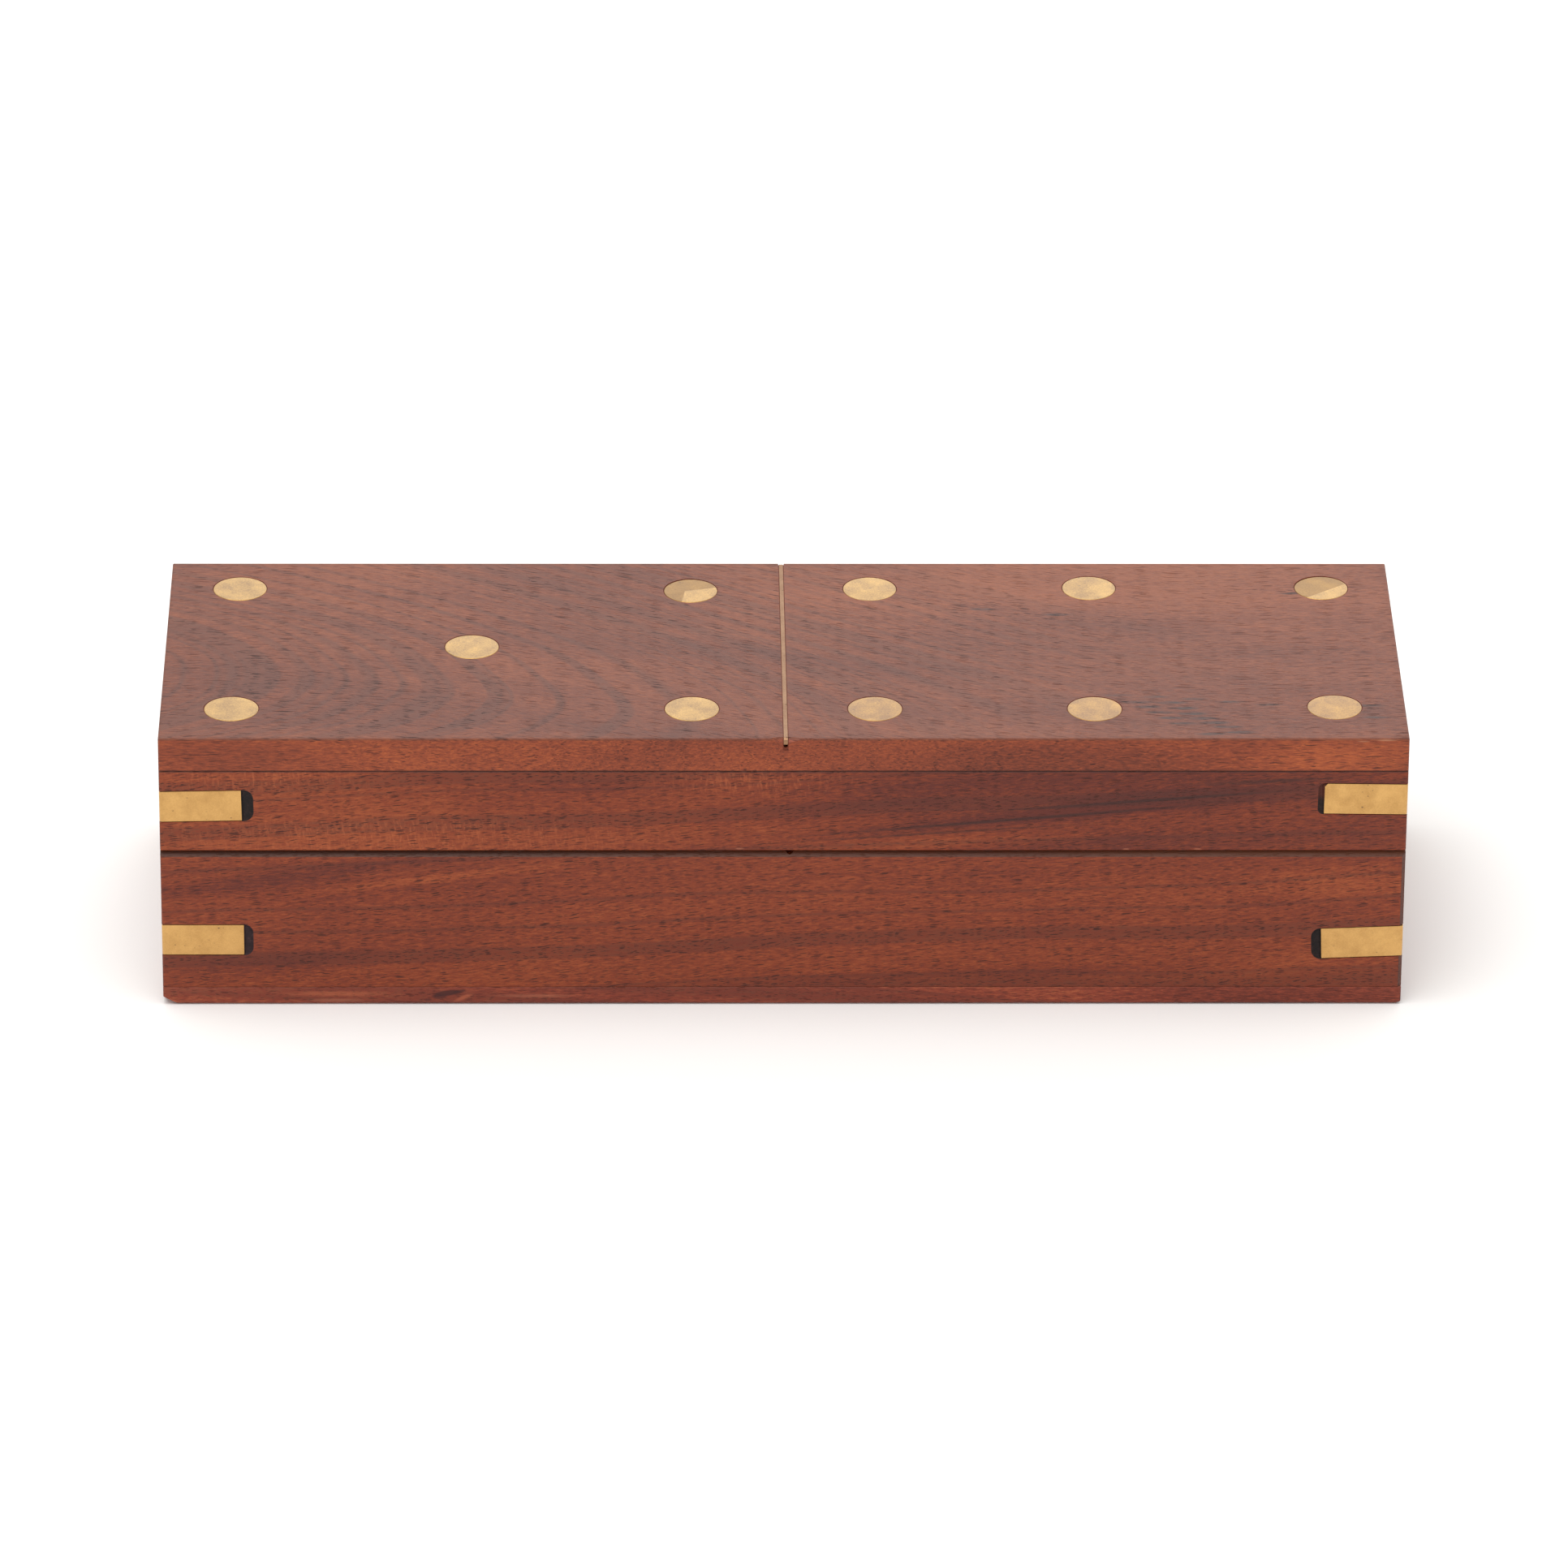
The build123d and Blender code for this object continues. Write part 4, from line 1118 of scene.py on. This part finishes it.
def glue_ring(node):
    """A ring of glue that fills the gap round a pip."""
    low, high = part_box(node)
    radius = (high.x - low.x) / 2
    shape = bmesh.new()
    section = [shape.verts.new((x, 0, z)) for x, z in
               ((radius, 0), (radius + GLUE_GAP, 0),
                (radius + GLUE_GAP, high.z - low.z - GLUE_LOW),
                (radius, high.z - low.z - GLUE_LOW))]
    ring = [shape.edges.new((section[i], section[(i + 1) % 4])) for i in range(4)]
    bmesh.ops.spin(shape, geom=section + ring, cent=(0, 0, 0), axis=(0, 0, 1), steps=72,
                   angle=2 * math.pi, use_merge=True)
    bmesh.ops.recalc_face_normals(shape, faces=shape.faces)
    bmesh.ops.translate(shape, verts=shape.verts,
                        vec=((low.x + high.x) / 2, (low.y + high.y) / 2, low.z))
    return shape


def add_to_box(shape, name, body, finish):
    """Turn a worked shape into a piece that no solid stands for."""
    mesh = bpy.data.meshes.new(name)
    shape.to_mesh(mesh)
    shape.free()
    mesh.materials.append(finish)
    piece = bpy.data.objects.new(name, mesh)
    bpy.context.scene.collection.objects.link(piece)
    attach(piece, body)
    return piece


for node in pip_cuts:
    ring = add_to_box(glue_ring(node), "glue_round_" + node, "lid", glue)
print(len(pip_cuts), "rings of glue,", len(ring.data.polygons), "faces each")

# %% [markdown]
# ## Glue in the kerf
#
# The glue round the strip is a trough that the strip stands in, with a smaller groove below,
# whose end is the dark hole. Its outline is drawn across the kerf and extruded along it. The
# file took off its top corners with the wood's, so a plane at 45 degrees cuts each of them.

# %% Fill the kerf round the strip
KERF_DEPTH = 2.1 * MM
FILED_BACK = 0.75 * MM        # how far back and down the file cut the top corners

low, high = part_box("divider_strip")
middle_x = (low.x + high.x) / 2
half = (high.x - low.x) / 2
top = high.z - GLUE_LOW
front, back = low.y + 0.05 * MM, high.y - 0.05 * MM
right_half = [(half + GLUE_GAP, high.z - KERF_DEPTH), (half + GLUE_GAP, top), (half, top),
                  (half, low.z + 0.1 * MM), (0.2 * MM, low.z - 0.1 * MM)]
shape = bmesh.new()
trough = [shape.verts.new((middle_x + x, front, z)) for x, z in right_half]
trough += [shape.verts.new((middle_x - x, front, z)) for x, z in reversed(right_half)]
extruded(shape, [shape.faces.new(trough)], (0, back - front, 0))
for end, outwards in ((low.y, -1), (high.y, 1)):
    cut = bmesh.ops.bisect_plane(shape, geom=shape.verts[:] + shape.edges[:] + shape.faces[:],
                                 plane_co=(0, end - outwards * FILED_BACK, high.z),
                                 plane_no=(0, outwards, 1), clear_outer=True)["geom_cut"]
    rim = [e for e in cut if isinstance(e, bmesh.types.BMEdge)]
    bmesh.ops.holes_fill(shape, edges=rim)
bmesh.ops.recalc_face_normals(shape, faces=shape.faces)
open_edges = sum(not e.is_manifold for e in shape.edges)
kerf_glue = add_to_box(shape, "glue_round_strip", "lid", glue)
print(kerf_glue.name, len(kerf_glue.data.polygons), "faces,", open_edges, "open edges")

# %% [markdown]
# ## Filler that has shrunk
#
# Resin shrinks as it sets, so the filler stands a little below the wood, and lowest in the
# middle. Its outer faces are inset and pushed in, which leaves a narrow shore against the
# wood and the brass, as on the real box.

# %% Push the fillers in
# How far each step goes in from the edge and down, in mm: a steep shore, then a flatter one.
SHORE = ((0.18, 0.12), (0.22, 0.13))
filler_finishes = {"base_front_left_filler": plum_filler, "lid_front_right_filler": pale_filler,
                   "base_back_right_filler": plum_filler, "lid_back_left_filler": pale_filler}


def shrunken(node):
    """The filler with its outer faces pushed in."""
    left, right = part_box("base_left_wall")[0].x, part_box("base_right_wall")[1].x
    front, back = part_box("base_front_wall")[0].y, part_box("base_back_wall")[1].y
    shape = whole_copy(node)
    outer = []
    for face in shape.faces:
        x, y, z = face.calc_center_median()
        if min(abs(x - left), abs(x - right), abs(y - front), abs(y - back)) < 0.1 * MM:
            outer.append(face)
    for inwards, down in SHORE:
        bmesh.ops.inset_individual(shape, faces=outer, thickness=inwards * MM, depth=-down * MM)
    finish = filler_finishes.get(node, filler)
    piece = take_off(shape, "shrunken_" + node, node, finish)
    print(piece.name, len(outer), "faces pushed in")


for node in [n for n in nodes if n.endswith("_filler")]:
    shrunken(node)
